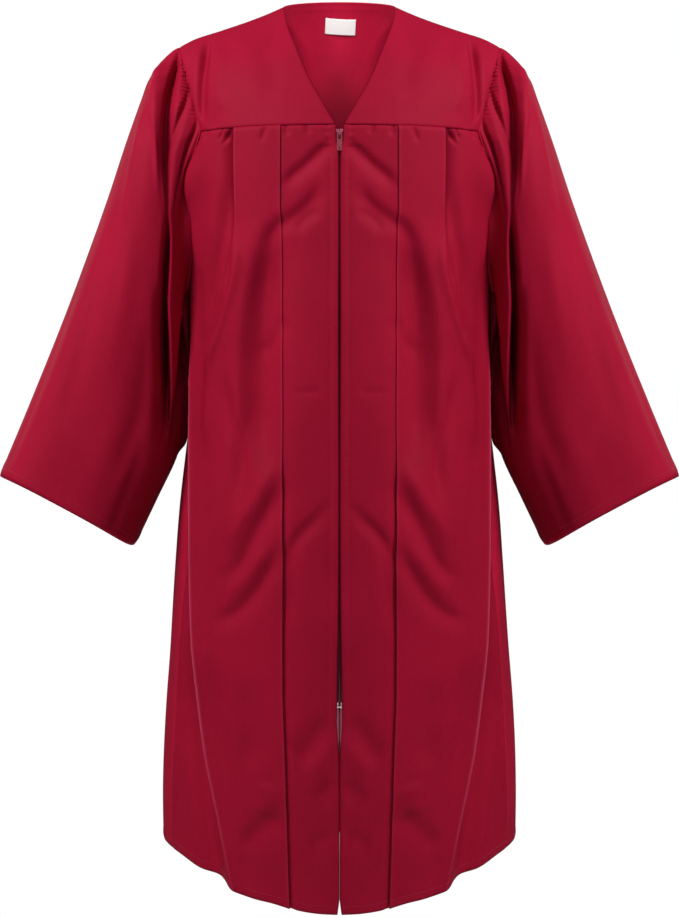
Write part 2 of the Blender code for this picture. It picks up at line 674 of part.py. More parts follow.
def sleeve(name, side, finish, collection):
    first, last = CAP_GATHER_ANGLES
    fluted = 2 * CAP_GATHERS
    angles = [first + (last - first) * k / fluted for k in range(fluted + 1)]
    angles += [last + (360 + first - last) * k / SLEEVE_PLAIN_COLUMNS
               for k in range(1, SLEEVE_PLAIN_COLUMNS)]
    angles.append(angles[0])

    def place(column, row):
        return sleeve_folded_point(angles[column], SLEEVE_ROWS[row]) * np.array([side, 1, 1])

    rows = len(SLEEVE_ROWS) - 1
    return cloth_piece(name, len(angles) - 1, rows, place, finish, collection, closed=True)


def centre_line(height, depth):
    """A point on the line of the zip at a height, so far behind the front's middle surface."""
    section = section_at(height)
    return np.array([0.0, float(section["y"][0]) + depth, height])


def zip_frame(height):
    """The zip's own frame at a height: X across, Z up along the cloth, -Y out from it."""
    upper, lower = centre_line(height + 6 * MM, 0), centre_line(height - 6 * MM, 0)
    up = Vector(upper - lower).normalized()
    back = up.cross(Vector((1, 0, 0))).normalized()
    turn = Matrix((Vector((1, 0, 0)), back, up)).transposed().to_4x4()
    return Matrix.Translation(Vector(centre_line(height, 0))) @ turn


def strip_piece(name, reach, ends, depth, wall, finish, collection, side=1, rows=18):
    """A narrow strip that follows the front's centre line, such as a tape or the chain."""
    first, last = reach

    def place(column, row):
        height = ends[0] + (ends[1] - ends[0]) * row / rows
        point = centre_line(height, depth)
        point[0] = side * (first + (last - first) * column)
        return point

    return cloth_piece(name, 1, rows, place, finish, collection, wall=wall)


def block(name, size, finish, collection, bevel):
    """A box with rounded edges, centred on its origin."""
    mesh = bpy.data.meshes.new(name)
    bm = bmesh.new()
    bmesh.ops.create_cube(bm, size=1.0)
    bmesh.ops.scale(bm, vec=Vector(size), verts=bm.verts)
    bm.to_mesh(mesh)
    bm.free()
    piece = bpy.data.objects.new(name, mesh)
    collection.objects.link(piece)
    mesh.materials.append(finish)
    rounded = piece.modifiers.new("rounded edges", "BEVEL")
    rounded.width = bevel
    rounded.segments = 2
    return piece


def zip_slider(finish, collection, cutters):
    """The slider's body and the bridge that holds the pull tab, as one solid."""
    slider = block("zip_slider", SLIDER_SIZE, finish, collection, 0.7 * MM)
    frame = zip_frame(SLIDER_HEIGHT)
    slider.matrix_world = frame @ Matrix.Translation((0, SLIDER_SIZE[1] / 2 - SLIDER_FACE, 0))
    bpy.ops.mesh.primitive_torus_add(major_segments=20, minor_segments=8,
                                     major_radius=BRIDGE_RADIUS, minor_radius=BRIDGE_WIRE)
    bridge = bpy.context.active_object
    bridge.name = "zip_slider_bridge_guide"
    for owner in list(bridge.users_collection):
        owner.objects.unlink(bridge)
    cutters.objects.link(bridge)
    bridge.matrix_world = (frame @ Matrix.Translation((0, -SLIDER_FACE, 0))
                           @ Matrix.Rotation(math.pi / 2, 4, "Y"))
    bridge.hide_render = True
    bridge.display_type = "WIRE"
    union = slider.modifiers.new("bridge", "BOOLEAN")
    union.operation = "UNION"
    union.object = bridge
    return slider


def rounded_outline(curve, half_width, top, bottom, radius, steps=3):
    """Add a closed straight-edged spline round a rectangle with rounded corners."""
    corners = ((half_width - radius, top - radius, 0), (-half_width + radius, top - radius, 90),
               (-half_width + radius, bottom + radius, 180), (half_width - radius, bottom + radius, 270))
    points = []
    for x, y, start in corners:
        for k in range(steps + 1):
            turn = math.radians(start + 90 * k / steps)
            points.append((x + radius * math.cos(turn), y + radius * math.sin(turn)))
    spline = curve.splines.new("POLY")
    spline.points.add(len(points) - 1)
    for point, (x, y) in zip(spline.points, points):
        point.co = (x, y, 0, 1)
    spline.use_cyclic_u = True


def zip_pull_tab(finish, collection):
    """A flat metal tab with a window for the bridge and a small hole at its end."""
    curve = bpy.data.curves.new("zip_pull_tab", "CURVE")
    curve.dimensions = "2D"
    curve.fill_mode = "BOTH"
    curve.extrude = TAB_THICKNESS / 2
    top = TAB_BAR / 2
    rounded_outline(curve, TAB_HALF_WIDTH, top, top - TAB_LENGTH, 1.2 * MM)
    window_top = -TAB_BAR / 2
    rounded_outline(curve, TAB_WINDOW[0], window_top, -TAB_WINDOW[1], 0.5 * MM)
    hole = top - TAB_LENGTH + 3 * MM
    rounded_outline(curve, TAB_HOLE_RADIUS, hole + TAB_HOLE_RADIUS, hole - TAB_HOLE_RADIUS,
                    TAB_HOLE_RADIUS * 0.98)
    shape = bpy.data.objects.new("zip_pull_tab_outline", curve)
    collection.objects.link(shape)
    bpy.context.view_layer.update()
    graph = bpy.context.evaluated_depsgraph_get()
    mesh = bpy.data.meshes.new_from_object(shape.evaluated_get(graph))
    bpy.data.objects.remove(shape)
    bm = bmesh.new()
    bm.from_mesh(mesh)
    bmesh.ops.remove_doubles(bm, verts=bm.verts, dist=0.001 * MM)
    bmesh.ops.recalc_face_normals(bm, faces=bm.faces)
    bm.to_mesh(mesh)
    bm.free()
    tab = bpy.data.objects.new("zip_pull_tab", mesh)
    collection.objects.link(tab)
    mesh.materials.clear()
    mesh.materials.append(finish)
    tab.matrix_world = (zip_frame(SLIDER_HEIGHT)
                        @ Matrix.Translation((0, -SLIDER_FACE - TAB_PIVOT_OUT, TAB_PIVOT_RISE))
                        @ Matrix.Rotation(math.pi / 2, 4, "X"))
    return tab


def size_label(finish, collection):
    """The label inside the back neck, made from the yoke's own points, moved inward."""
    columns, rows = 6, 3
    cosine, sine = math.cos(LABEL_TILT), math.sin(LABEL_TILT)
    top, bottom = back_yoke_point(0, 0)[2], back_yoke_point(0, 1)[2]

    def on_yoke(x, z):
        down = (top - z) / (top - bottom)
        share = x / (NECK_HALF_WIDTH / NECK_SHARE)
        for _ in range(6):
            point = back_yoke_point(share, down)
            share += (x - point[0]) / (NECK_HALF_WIDTH / NECK_SHARE)
            down -= (z - point[2]) / (top - bottom)
        beside = back_yoke_point(share + 0.02, down) - back_yoke_point(share - 0.02, down)
        below = back_yoke_point(share, down + 0.02) - back_yoke_point(share, down - 0.02)
        inward = np.cross(beside, below)
        inward /= np.linalg.norm(inward)
        if inward[1] > 0:
            inward = -inward
        return back_yoke_point(share, down) + inward * (CLOTH / 2 + LABEL_STAND + LABEL_THICKNESS / 2)

    def place(column, row):
        a = (column / columns - 0.5) * LABEL_SIZE[0]
        b = (0.5 - row / rows) * LABEL_SIZE[1]
        return on_yoke(LABEL_CENTRE[0] + a * cosine + b * sine,
                       LABEL_CENTRE[1] - a * sine + b * cosine)

    return cloth_piece("size_label", columns, rows, place, finish, collection,
                       wall=LABEL_THICKNESS)


def main():
    for old in list(bpy.data.objects):
        bpy.data.objects.remove(old, do_unlink=True)
    scene = bpy.context.scene
    collection = bpy.data.collections.new("graduation_gown")
    cutters = bpy.data.collections.new("cutters")
    scene.collection.children.link(collection)
    scene.collection.children.link(cutters)

    for name, side in (("left", 1), ("right", -1)):
        front_yoke(f"front_yoke_{name}", side,
                   material(f"front_yoke_{name}_cloth", CRIMSON, 0.62), collection)
        front_panel(f"front_panel_{name}", side,
                    material(f"front_panel_{name}_cloth", CRIMSON, 0.62), collection)
        sleeve(f"sleeve_{name}", side, material(f"sleeve_{name}_cloth", CRIMSON, 0.62), collection)
        strip_piece(f"zip_tape_{name}", TAPE_REACH, TAPE_ENDS, TAPE_DEPTH, TAPE_THICKNESS,
                    material(f"zip_tape_{name}_weave", TAPE_CRIMSON, 0.8), collection, side)
    back_yoke("back_yoke", material("back_yoke_cloth", CRIMSON, 0.62), collection)
    back_panel("back_panel", material("back_panel_cloth", CRIMSON, 0.62), collection)

    chain_top = SLIDER_HEIGHT - SLIDER_SIZE[2] / 2 - CHAIN_END_GAP
    half = CHAIN_WIDTH / 2
    strip_piece("zip_chain", (-half, half), (chain_top, CHAIN_END), CHAIN_DEPTH, CHAIN_THICKNESS,
                material("zip_chain_nylon", TAPE_CRIMSON, 0.45), collection)
    painted = material("painted_zip_metal", PAINTED_CRIMSON, 0.35, 0.2)
    zip_slider(painted, collection, cutters)
    zip_pull_tab(painted.copy(), collection)
    stop = block("zip_bottom_stop", STOP_SIZE, material("plated_steel", STEEL, 0.3, 1.0),
                 collection, 0.5 * MM)
    stop_height = CHAIN_END - STOP_SIZE[2] / 2 - CHAIN_END_GAP
    stop.matrix_world = zip_frame(stop_height) @ Matrix.Translation((0, CHAIN_DEPTH - STOP_RISE, 0))
    size_label(material("woven_label", LABEL_WHITE, 0.7), collection)


main()
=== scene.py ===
# %% [markdown]
# # A graduation gown
# The gown is crimson polyester with a soft sheen, shown filled out as if worn but with nobody
# in it. This notebook dresses the measured solids of the gown: the fine cloth, its pleats,
# gathers and soft folds, the seams, the zip and the finishes.

import json
import math

import bmesh
import bpy
import numpy as np
from mathutils import Matrix, Vector

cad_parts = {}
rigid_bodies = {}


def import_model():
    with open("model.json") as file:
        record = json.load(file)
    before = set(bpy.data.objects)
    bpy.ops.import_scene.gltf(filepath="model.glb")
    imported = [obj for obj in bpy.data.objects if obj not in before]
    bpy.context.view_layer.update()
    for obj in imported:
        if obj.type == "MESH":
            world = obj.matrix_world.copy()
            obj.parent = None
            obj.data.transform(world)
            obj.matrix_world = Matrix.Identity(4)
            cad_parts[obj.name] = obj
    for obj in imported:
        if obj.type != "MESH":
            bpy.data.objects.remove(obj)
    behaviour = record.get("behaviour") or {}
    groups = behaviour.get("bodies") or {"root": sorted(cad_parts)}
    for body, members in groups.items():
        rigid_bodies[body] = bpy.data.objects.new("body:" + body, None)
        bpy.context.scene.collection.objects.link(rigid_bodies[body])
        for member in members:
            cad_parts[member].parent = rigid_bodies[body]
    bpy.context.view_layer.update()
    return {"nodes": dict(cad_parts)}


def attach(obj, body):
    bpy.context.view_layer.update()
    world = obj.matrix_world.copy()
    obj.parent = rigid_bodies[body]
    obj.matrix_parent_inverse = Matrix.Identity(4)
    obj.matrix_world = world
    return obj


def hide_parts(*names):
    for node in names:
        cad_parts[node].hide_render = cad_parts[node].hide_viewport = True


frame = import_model()
MM = 0.001

# %% [markdown]
# ## Camera
# The camera comes first. It stands 2.5 m in front of the gown, a little under the shoulders,
# and looks down by about five degrees, which is how the picture was taken.

# %% Camera
camera_data = bpy.data.cameras.new("front_camera")
camera_data.lens = 74.806
camera_data.sensor_width = 36.0
camera = bpy.data.objects.new("front_camera", camera_data)
bpy.context.scene.collection.objects.link(camera)
camera.location = (0.0, -2.5, -0.35)
camera.rotation_euler = (math.radians(84.6393), 0.0, 0.0)
bpy.context.scene.camera = camera
print("camera at", tuple(camera.location))

# %% [markdown]
# ## Reading tables
# The gown's form is written as small tables of sizes in millimetres. Each table is read at
# any height with a smooth curve or with straight lines between its rows. Working on whole
# arrays at once keeps this quick enough for fine cloth.


# %% Table readers
def smooth_curve(keys, values, at):
    """Read values at any key along a smooth curve through them."""
    keys, values = np.asarray(keys, float), np.asarray(values, float)
    slopes = np.gradient(values, keys)
    at = np.clip(at, keys[0], keys[-1])
    i = np.clip(np.searchsorted(keys, at) - 1, 0, len(keys) - 2)
    step = keys[i + 1] - keys[i]
    t = (at - keys[i]) / step
    ends = (2 * t**3 - 3 * t**2 + 1) * values[i] + (3 * t**2 - 2 * t**3) * values[i + 1]
    return ends + step * ((t**3 - 2 * t**2 + t) * slopes[i] + (t**3 - t**2) * slopes[i + 1])


def table_column(rows, names, name):
    rows = sorted(rows)
    return np.array([row[0] for row in rows]), np.array([row[names.index(name)] for row in rows])


def smooth_read(rows, names, name, at):
    return smooth_curve(*table_column(rows, names, name), at)


def straight_read(rows, names, name, at):
    keys, values = table_column(rows, names, name)
    return np.interp(at, keys, values)


def smooth_step(t):
    t = np.clip(t, 0.0, 1.0)
    return t * t * (3 - 2 * t)


def bell(distance, spread):
    """1 where the distance is 0, fading smoothly to nothing a few spreads away."""
    return np.exp(-(distance / spread) ** 2)


def along_line(points, t):
    """Points at the shares t of a smooth line through the given points."""
    knots = np.array(points, float)
    lengths = np.r_[0, np.cumsum(np.linalg.norm(np.diff(knots, axis=0), axis=1))]
    return np.stack([smooth_curve(lengths / lengths[-1], knots[:, k], t) for k in range(3)], -1)


def between(tables, row, column):
    """Read tables of one shape between their rows and columns."""
    row = np.clip(row, 0, tables[0].shape[0] - 1.001)
    column = np.clip(column, 0, tables[0].shape[1] - 1.001)
    i, j = row.astype(int), column.astype(int)
    u, v = row - i, column - j
    return [(1 - u) * ((1 - v) * t[i, j] + v * t[i, j + 1])
            + u * ((1 - v) * t[i + 1, j] + v * t[i + 1, j + 1]) for t in tables]


print("readers ready, bell(1, 2) is", round(float(bell(1, 2)), 3))

# %% [markdown]
# ## The body's form
# A gown that hangs from the shoulders has an almost elliptical section, squarer at the chest.
# Each row below is one section. Along each side of the front runs a long fold: a ridge with a
# valley behind it. Its crest leans over into a crisp lip, and a deep pocket lies behind the lip.
# All sizes are in millimetres, with heights measured down from the side neck point.

# %% Sections of the body
SECTION_NAMES = ("height", "width", "side", "front", "back", "front_round", "back_round")
SECTIONS = (
    (-158, 196, 10, -112, 108, 2.60, 2.60), (-222, 199, 8, -119, 116, 2.60, 2.50),
    (-283, 199, 12, -126, 121, 2.50, 2.40), (-330, 194, 15, -131, 124, 2.45, 2.35),
    (-376, 190, 18, -136, 127, 2.45, 2.30), (-440, 190, 22, -141, 130, 2.45, 2.25),
    (-504, 194, 26, -146, 133, 2.45, 2.20), (-576, 203, 30, -151, 137, 2.35, 2.20),
    (-643, 211, 30, -155, 140, 2.30, 2.20), (-724, 218, 30, -159, 144, 2.25, 2.20),
    (-833, 226, 30, -164, 149, 2.20, 2.10), (-915, 233, 30, -167, 153, 2.10, 2.10),
    (-1025, 238, 30, -171, 158, 2.10, 2.10), (-1143, 237, 30, -175, 162, 2.10, 2.10),
)
SIDE_FOLD_NAMES = ("height", "base", "ridge", "valley", "apart")
SIDE_FOLD = (
    (-163, 170, 0, 0, 26), (-283, 196, 0, 0, 26), (-330, 189, 3, 4, 26), (-376, 185, 8, 8, 26),
    (-440, 183, 9, 10, 26), (-504, 182, 8, 13, 27), (-630, 182, 7, 18, 28),
    (-706, 180, 7, 21, 30), (-808, 176, 7, 21, 32), (-883, 171, 6, 19, 32),
    (-959, 163, 6, 17, 32), (-1008, 155, 5, 15, 32), (-1070, 143, 5, 13, 32),
    (-1143, 128, 4, 11, 32),
)
RIDGE_SPREAD, VALLEY_SPREAD = 13.0, 15.0
LIP = ((-420, 0), (-480, 0.8), (-540, 1.0), (-880, 1.0), (-980, 0.6), (-1080, 0.25), (-1143, 0.1))
LIP_HEIGHT, LIP_LEAN, LIP_SPREAD, POCKET_DEPTH = 4.4, 7.0, 3.4, 13.0
POCKET_BEHIND, POCKET_SPREAD, LEAN_SPREAD = 17, 9, 9
TABLE_STEP = 2.0
LEVELS = np.arange(-1150.0, -155.0, TABLE_STEP)
AROUND = np.arange(0.0, 781.0, TABLE_STEP)
TURNS = 721
SIDE_ANGLE = TURNS // 2


def body_section(height):
    """Half a section, from the front centre by the side to the back centre, in millimetres."""
    row = {name: smooth_read(SECTIONS, SECTION_NAMES, name, height) for name in SECTION_NAMES}
    angle = np.radians(np.linspace(0, 180, TURNS))
    in_front = angle <= math.pi / 2
    power = np.where(in_front, 2 / row["front_round"], 2 / row["back_round"])
    depth = np.where(in_front, row["side"] - row["front"], row["back"] - row["side"])
    x = row["width"] * np.sin(angle).clip(0) ** power
    y = row["side"] - depth * np.sign(np.cos(angle)) * np.abs(np.cos(angle)) ** power
    arc = np.r_[0, np.cumsum(np.hypot(np.diff(x), np.diff(y)))]
    along_x, along_y = np.gradient(x, arc), np.gradient(y, arc)
    size = np.hypot(along_x, along_y)
    fold = {name: smooth_read(SIDE_FOLD, SIDE_FOLD_NAMES, name, height) for name in SIDE_FOLD_NAMES}
    ridge_at = np.interp(fold["base"], x[:SIDE_ANGLE + 1], arc[:SIDE_ANGLE + 1])
    lift = (fold["ridge"] * bell(arc - ridge_at, RIDGE_SPREAD)
            - fold["valley"] * bell(arc - ridge_at - fold["apart"], VALLEY_SPREAD))
    crisp = np.interp(height, *np.array(sorted(LIP), float).T)
    lift += crisp * LIP_HEIGHT * bell(arc - ridge_at, LIP_SPREAD)
    lift -= crisp * POCKET_DEPTH * bell(arc - ridge_at - POCKET_BEHIND, POCKET_SPREAD)
    lean = crisp * LIP_LEAN * bell(arc - ridge_at, LEAN_SPREAD)
    out_x, out_y = along_y / size, -along_x / size
    return {"arc": arc, "x": x + out_x * lift - out_y * lean, "y": y + out_y * lift + out_x * lean,
            "out_x": out_x, "out_y": out_y, "base_y": y, "angle": np.degrees(angle),
            "ridge_at": ridge_at}


# %% One big table of the body's surface
BODY = {name: np.empty((len(LEVELS), len(AROUND))) for name in ("x", "y", "out_x", "out_y")}
SIDE_AT, BACK_AT, RIDGE_AT = (np.empty(len(LEVELS)) for _ in range(3))
for level, height in enumerate(LEVELS):
    section = body_section(height)
    end = section["arc"][-1]
    folded = end - np.abs(end - AROUND)
    mirrored = np.where(AROUND > end, -1.0, 1.0)
    for name in BODY:
        BODY[name][level] = np.interp(folded, section["arc"], section[name])
    BODY["x"][level] *= mirrored
    BODY["out_x"][level] *= mirrored
    SIDE_AT[level], BACK_AT[level] = section["arc"][SIDE_ANGLE], end
    RIDGE_AT[level] = section["ridge_at"]


def body_points(height, around, lift=0.0):
    """Points on the body, so high and so far round from the front centre, moved out by lift."""
    height, around = np.broadcast_arrays(np.asarray(height, float), np.asarray(around, float))
    x, y, out_x, out_y = between(list(BODY.values()), (height - LEVELS[0]) / TABLE_STEP, around / TABLE_STEP)
    return np.stack([x + out_x * lift, y + out_y * lift, height], -1)


print("body table", BODY["x"].shape)

# %% [markdown]
# ## Where the pieces end
# The panels are cut along lines: the slit of the zip, the two folds of the box pleat, the
# armhole, the side seam, the yoke seam and the curved hem.

# %% Cutting lines
GOWN_LENGTH = 1143.0
YOKE_SEAM_HEIGHT, YOKE_CORNER_HEIGHT = -158.0, -163.0
UNDERARM_HEIGHT, SIDE_HEM_HEIGHT = -283.0, -1096.0
EDGE_NAMES = ("height", "zip_gap", "pleat_in", "pleat_out", "seam")
EDGES = (
    (-158, 4.6, 74, 133, 6), (-178, 3.7, 74, 133, 6), (-193, 1.0, 74, 133, 6),
    (-215, 0.4, 74, 132.7, 6), (-260, 0.35, 74, 132, 6), (-300, 0.5, 73, 134, 10),
    (-376, 1.0, 73, 141, 34), (-504, 0.8, 72, 142, 46), (-560, 0.4, 72, 139.3, 57.6),
    (-630, 0.4, 72, 136, 72), (-720, 0.8, 72, 130, 82), (-800, 1.7, 72, 124.7, 83.6),
    (-870, 3.2, 72, 120, 85), (-900, 3.4, 71, 117, 85), (-952, 0.06, 69, 113, 85),
    (-1124, 0.06, 64, 101, 85), (-1143, 2.6, 63, 100, 85),
)
ARMHOLE_NAMES = ("height", "front", "back")
ARMHOLE = ((-163, -62, 60), (-190, -60, 60), (-215, -54, 57), (-240, -43, 50), (-262, -27, 36))
HEM = ((0, 0), (6, 1), (12, 4), (20, 11), (29, 16), (38, 28), (46, 37), (56, 46), (72, 50),
       (90, 45), (120, 28), (150, 13), (180, 7))


def edge(name, height):
    return straight_read(EDGES, EDGE_NAMES, name, height)


def at_level(values, height):
    return np.interp(height, LEVELS, values)


def seam_around(height):
    return at_level(SIDE_AT, height) - edge("seam", height)


def armhole_curve(face):
    """How far round the armhole's edge lies at each millimetre of height."""
    heights = np.arange(UNDERARM_HEIGHT, YOKE_SEAM_HEIGHT + 1)
    found = []
    for height in heights:
        section = body_section(height)
        depth = straight_read(ARMHOLE, ARMHOLE_NAMES, face, height)
        around = np.interp(depth, section["base_y"], section["arc"])
        below = max((height - ARMHOLE[-1][0]) / (UNDERARM_HEIGHT - ARMHOLE[-1][0]), 0)
        found.append(around + (seam_around(height) - around) * below ** 1.5)
    return heights, np.array(found)


ARMHOLE_CURVES = {face: armhole_curve(face) for face in ("front", "back")}


def armhole_around(height, face):
    above = np.interp(height, *ARMHOLE_CURVES[face])
    return np.where(height > UNDERARM_HEIGHT, above, seam_around(height))


def yoke_seam_height(around, face):
    middle = 0.0 if face == "front" else at_level(BACK_AT, YOKE_SEAM_HEIGHT)
    reach = (around - middle) / (armhole_around(YOKE_CORNER_HEIGHT, face) - middle)
    return YOKE_SEAM_HEIGHT + (YOKE_CORNER_HEIGHT - YOKE_SEAM_HEIGHT) * np.clip(reach, 0, 1) ** 2


HEM_SECTION = body_section(SIDE_HEM_HEIGHT)


def hem_height(around):
    angle = np.interp(around, HEM_SECTION["arc"], HEM_SECTION["angle"])
    return smooth_read(HEM, ("angle", "rise"), "rise", angle) - GOWN_LENGTH


print("side hem at", round(float(hem_height(seam_around(SIDE_HEM_HEIGHT))), 1), "mm")

# %% [markdown]
# ## Soft folds and puckers
# Cloth that hangs has soft troughs that begin somewhere and die out again, no two alike, and
# it puckers where a seam gathers it. Each fold is drawn as a path on the cloth with its
# width on either side and its depth. Puckers are short waves that fade away from a seam,
# with spacing and height that drift.


# %% Fold and pucker helpers
def folds(table, x, z, scale=(1.0, 1.0)):
    """How far the folds move the cloth in or out. A row: left width, right width, depth, path."""
    total = np.zeros(np.shape(x))
    here = np.stack([np.asarray(x) * scale[0], np.asarray(z) * scale[1]], -1)
    for left, right, deep, *path in table:
        knots = np.array(path, float) * scale
        keys = np.r_[0, np.cumsum(np.linalg.norm(np.diff(knots, axis=0), axis=1))]
        fine = np.linspace(0, keys[-1], 6 * len(path))
        line = np.stack([smooth_curve(keys, knots[:, k], fine) for k in (0, 1)], -1)
        reach = 3.2 * max(left, right)
        low, high = line.min(0) - reach, line.max(0) + reach
        near = np.all((here > low) & (here < high), -1)
        if not near.any():
            continue
        spots = here[near]
        best = np.full(len(spots), 1e9)
        share, side = np.zeros(len(spots)), np.zeros(len(spots))
        for k in range(len(line) - 1):
            run = line[k + 1] - line[k]
            t = ((spots - line[k]) @ run) / (run @ run)
            clipped = np.clip(t, 0, 1)
            gap = spots - line[k] - clipped[:, None] * run
            away = np.hypot(gap[:, 0], gap[:, 1])
            closer = away < best
            best = np.where(closer, away, best)
            share = np.where(closer, (fine[k] + clipped * (fine[k + 1] - fine[k])) / keys[-1], share)
            side = np.where(closer, run[0] * gap[:, 1] - run[1] * gap[:, 0], side)
        spread = np.where(side > 0, left, right)
        fade = smooth_step(share / 0.28) * smooth_step((1 - share) / 0.28)
        ends = (share <= 0) | (share >= 1)
        fade = np.where(ends, 0.0, fade)
        total[near] -= deep * fade * bell(best, spread)
    return total


def drift(along, step, seed):
    """A wave whose spacing and height wander, for puckers and fine gathers."""
    phase = 2 * math.pi * along / step + 1.9 * np.sin(along / (step * 2.7) + seed)
    phase += 1.1 * np.sin(along / (step * 5.3) + 2.3 * seed)
    height = 0.62 + 0.28 * np.sin(along / (step * 3.1) + 1.7 * seed)
    return np.sin(phase) * (height + 0.22 * np.sin(along / (step * 7.7) + 0.9 * seed))


def ripple(x, z, seed=0.0):
    """Broad uneven softness, so that no area of cloth is perfectly smooth."""
    a = np.sin(x / 23.0 + 1.3 * np.sin(z / 61.0 + seed) + seed)
    b = np.sin(x / 41.0 - z / 97.0 + 2.1 * seed) * np.sin(z / 143.0 + 0.7 * seed)
    return 0.30 * a * np.sin(z / 119.0 + 1.9 * seed) + 0.45 * b


print("sample pucker", round(float(drift(10.0, 5.0, 1.0)), 3))

# %% [markdown]
# ## Colours and nodes
# Colours are written as the hex values that a picture shows, and one function turns them into
# the linear values that the shader expects. One helper adds any node with its settings and
# its links, so each material below reads like a short recipe.


# %% Colour and node helpers
def linear(hex_colour):
    """sRGB hex to linear RGBA."""
    parts = [int(hex_colour[k:k + 2], 16) / 255 for k in (1, 3, 5)]
    return (*[c / 12.92 if c <= 0.04045 else ((c + 0.055) / 1.055) ** 2.4 for c in parts], 1.0)


def add_node(tree, kind, settings=None, **sockets):
    """Add a node. Values set its sockets, and a pair of node and output name links one."""
    node = tree.nodes.new(kind)
    for key, value in (settings or {}).items():
        setattr(node, key, value)
    for key, value in sockets.items():
        name = key.replace("_", " ")
        socket = node.inputs[int(name[2:])] if name.startswith("n ") else node.inputs[name]
        if isinstance(value, tuple) and isinstance(value[0], bpy.types.Node):
            tree.links.new(value[0].outputs[value[1]], socket)
        else:
            socket.default_value = value
    return node


def new_material(name):
    made = bpy.data.materials.new(name)
    made.use_nodes = True
    shader = made.node_tree.nodes["Principled BSDF"]
    return made, made.node_tree, shader


print("crimson is", [round(c, 3) for c in linear("#A81B3A")])

# %% [markdown]
# ## Finish: crimson polyester satin-back cloth
# The real cloth is a light woven polyester, matt on its face with a soft sheen where the
# surface turns away. Threads run a quarter of a millimetre apart, too fine to show here, so
# the weave is drawn at half a millimetre. A slow drift in colour and in roughness stands for
# the unevenness of dyed cloth, and the pattern follows each piece's own map, in metres.
# Along the crisp edges of the pleats and of the side fold's lip, a paler pink is mixed into the colour: a
# painted highlight that draws a thin light line.


# %% Crimson cloth
def crimson_cloth():
    made, tree, shader = new_material("crimson_polyester_cloth")
    place = add_node(tree, "ShaderNodeUVMap", {"uv_map": "cloth"})
    broad = add_node(tree, "ShaderNodeTexNoise", Vector=(place, "UV"), Scale=9.0, Detail=3.0,
                     Roughness=0.55)
    slub_map = add_node(tree, "ShaderNodeMapping", Vector=(place, "UV"), Scale=(900.0, 70.0, 1.0))
    slub = add_node(tree, "ShaderNodeTexNoise", Vector=(slub_map, "Vector"), Scale=1.0, Detail=2.0)
    grain = add_node(tree, "ShaderNodeTexNoise", Vector=(place, "UV"), Scale=1400.0, Detail=1.0)
    mixed = add_node(tree, "ShaderNodeMath", {"operation": "MULTIPLY_ADD"}, n_0=(slub, "Fac"),
                     n_1=0.7, n_2=(broad, "Fac"))
    fine = add_node(tree, "ShaderNodeMath", {"operation": "MULTIPLY_ADD"}, n_0=(grain, "Fac"),
                    n_1=0.6, n_2=(mixed, "Value"))
    tone = add_node(tree, "ShaderNodeMapRange", Value=(fine, "Value"), n_1=0.7, n_2=1.6,
                    n_3=0.84, n_4=1.16)
    colour = add_node(tree, "ShaderNodeHueSaturation", Color=linear("#B01636"), Value=(tone, "Result"))
    # painted highlight: along the crisp fold edges the colour is mixed towards a pale pink
    highlight_attribute = add_node(tree, "ShaderNodeAttribute", {"attribute_name": "pressed"})
    highlight_mix = add_node(tree, "ShaderNodeMix", {"data_type": "RGBA"}, Factor=(highlight_attribute, "Fac"),
                      n_6=(colour, "Color"), n_7=linear("#F0668C"))
    tree.links.new(highlight_mix.outputs[2], shader.inputs["Base Color"])
    rough = add_node(tree, "ShaderNodeMapRange", Value=(grain, "Fac"), n_3=0.50, n_4=0.60)
    tree.links.new(rough.outputs["Result"], shader.inputs["Roughness"])
    across = add_node(tree, "ShaderNodeTexWave", {"bands_direction": "X"}, Vector=(place, "UV"),
                      Scale=620.0, Distortion=0.6, Detail=1.0)
    down = add_node(tree, "ShaderNodeTexWave", {"bands_direction": "Y"}, Vector=(place, "UV"),
                    Scale=620.0, Distortion=0.6, Detail=1.0)
    weave = add_node(tree, "ShaderNodeMath", {"operation": "MAXIMUM"}, n_0=(across, "Fac"),
                     n_1=(down, "Fac"))
    thread = add_node(tree, "ShaderNodeBump", Strength=0.16, Distance=0.0002, Height=(weave, "Value"))
    crush = add_node(tree, "ShaderNodeTexNoise", Vector=(place, "UV"), Scale=38.0, Detail=4.0)
    soft = add_node(tree, "ShaderNodeBump", Strength=0.12, Distance=0.0015, Height=(crush, "Fac"),
                    Normal=(thread, "Normal"))
    tree.links.new(soft.outputs["Normal"], shader.inputs["Normal"])
    shader.inputs["Specular IOR Level"].default_value = 0.05
    shader.inputs["IOR"].default_value = 1.5
    shader.inputs["Sheen Weight"].default_value = 0.02
    shader.inputs["Sheen Roughness"].default_value = 0.2
    shader.inputs["Sheen Tint"].default_value = linear("#F29CB0")
    return made


CRIMSON = crimson_cloth()
print("material", CRIMSON.name)

# %% [markdown]
# ## Sewing helper: a sheet of cloth
# Each panel starts as a flat grid, like a cut piece on the table. Every corner of the grid
# then goes to its place on the worn gown, and Solidify gives the sheet its real thickness.
# The map in metres is kept from the flat piece, so the weave stays true round every fold.
# Each corner can also hold a share of painted highlight, which the finish mixes in as a paler pink.

# %% Cloth pieces from flat grids
WALL = 0.6
SIDES = (("left", 1), ("right", -1))


def sheet_area(points):
    """Area of the mid surface of a grid of points in millimetres, in square metres."""
    a, b = points[1:, 1:] - points[:-1, :-1], points[1:, :-1] - points[:-1, 1:]
    return float(np.linalg.norm(np.cross(a, b), axis=-1).sum() / 2) * MM * MM


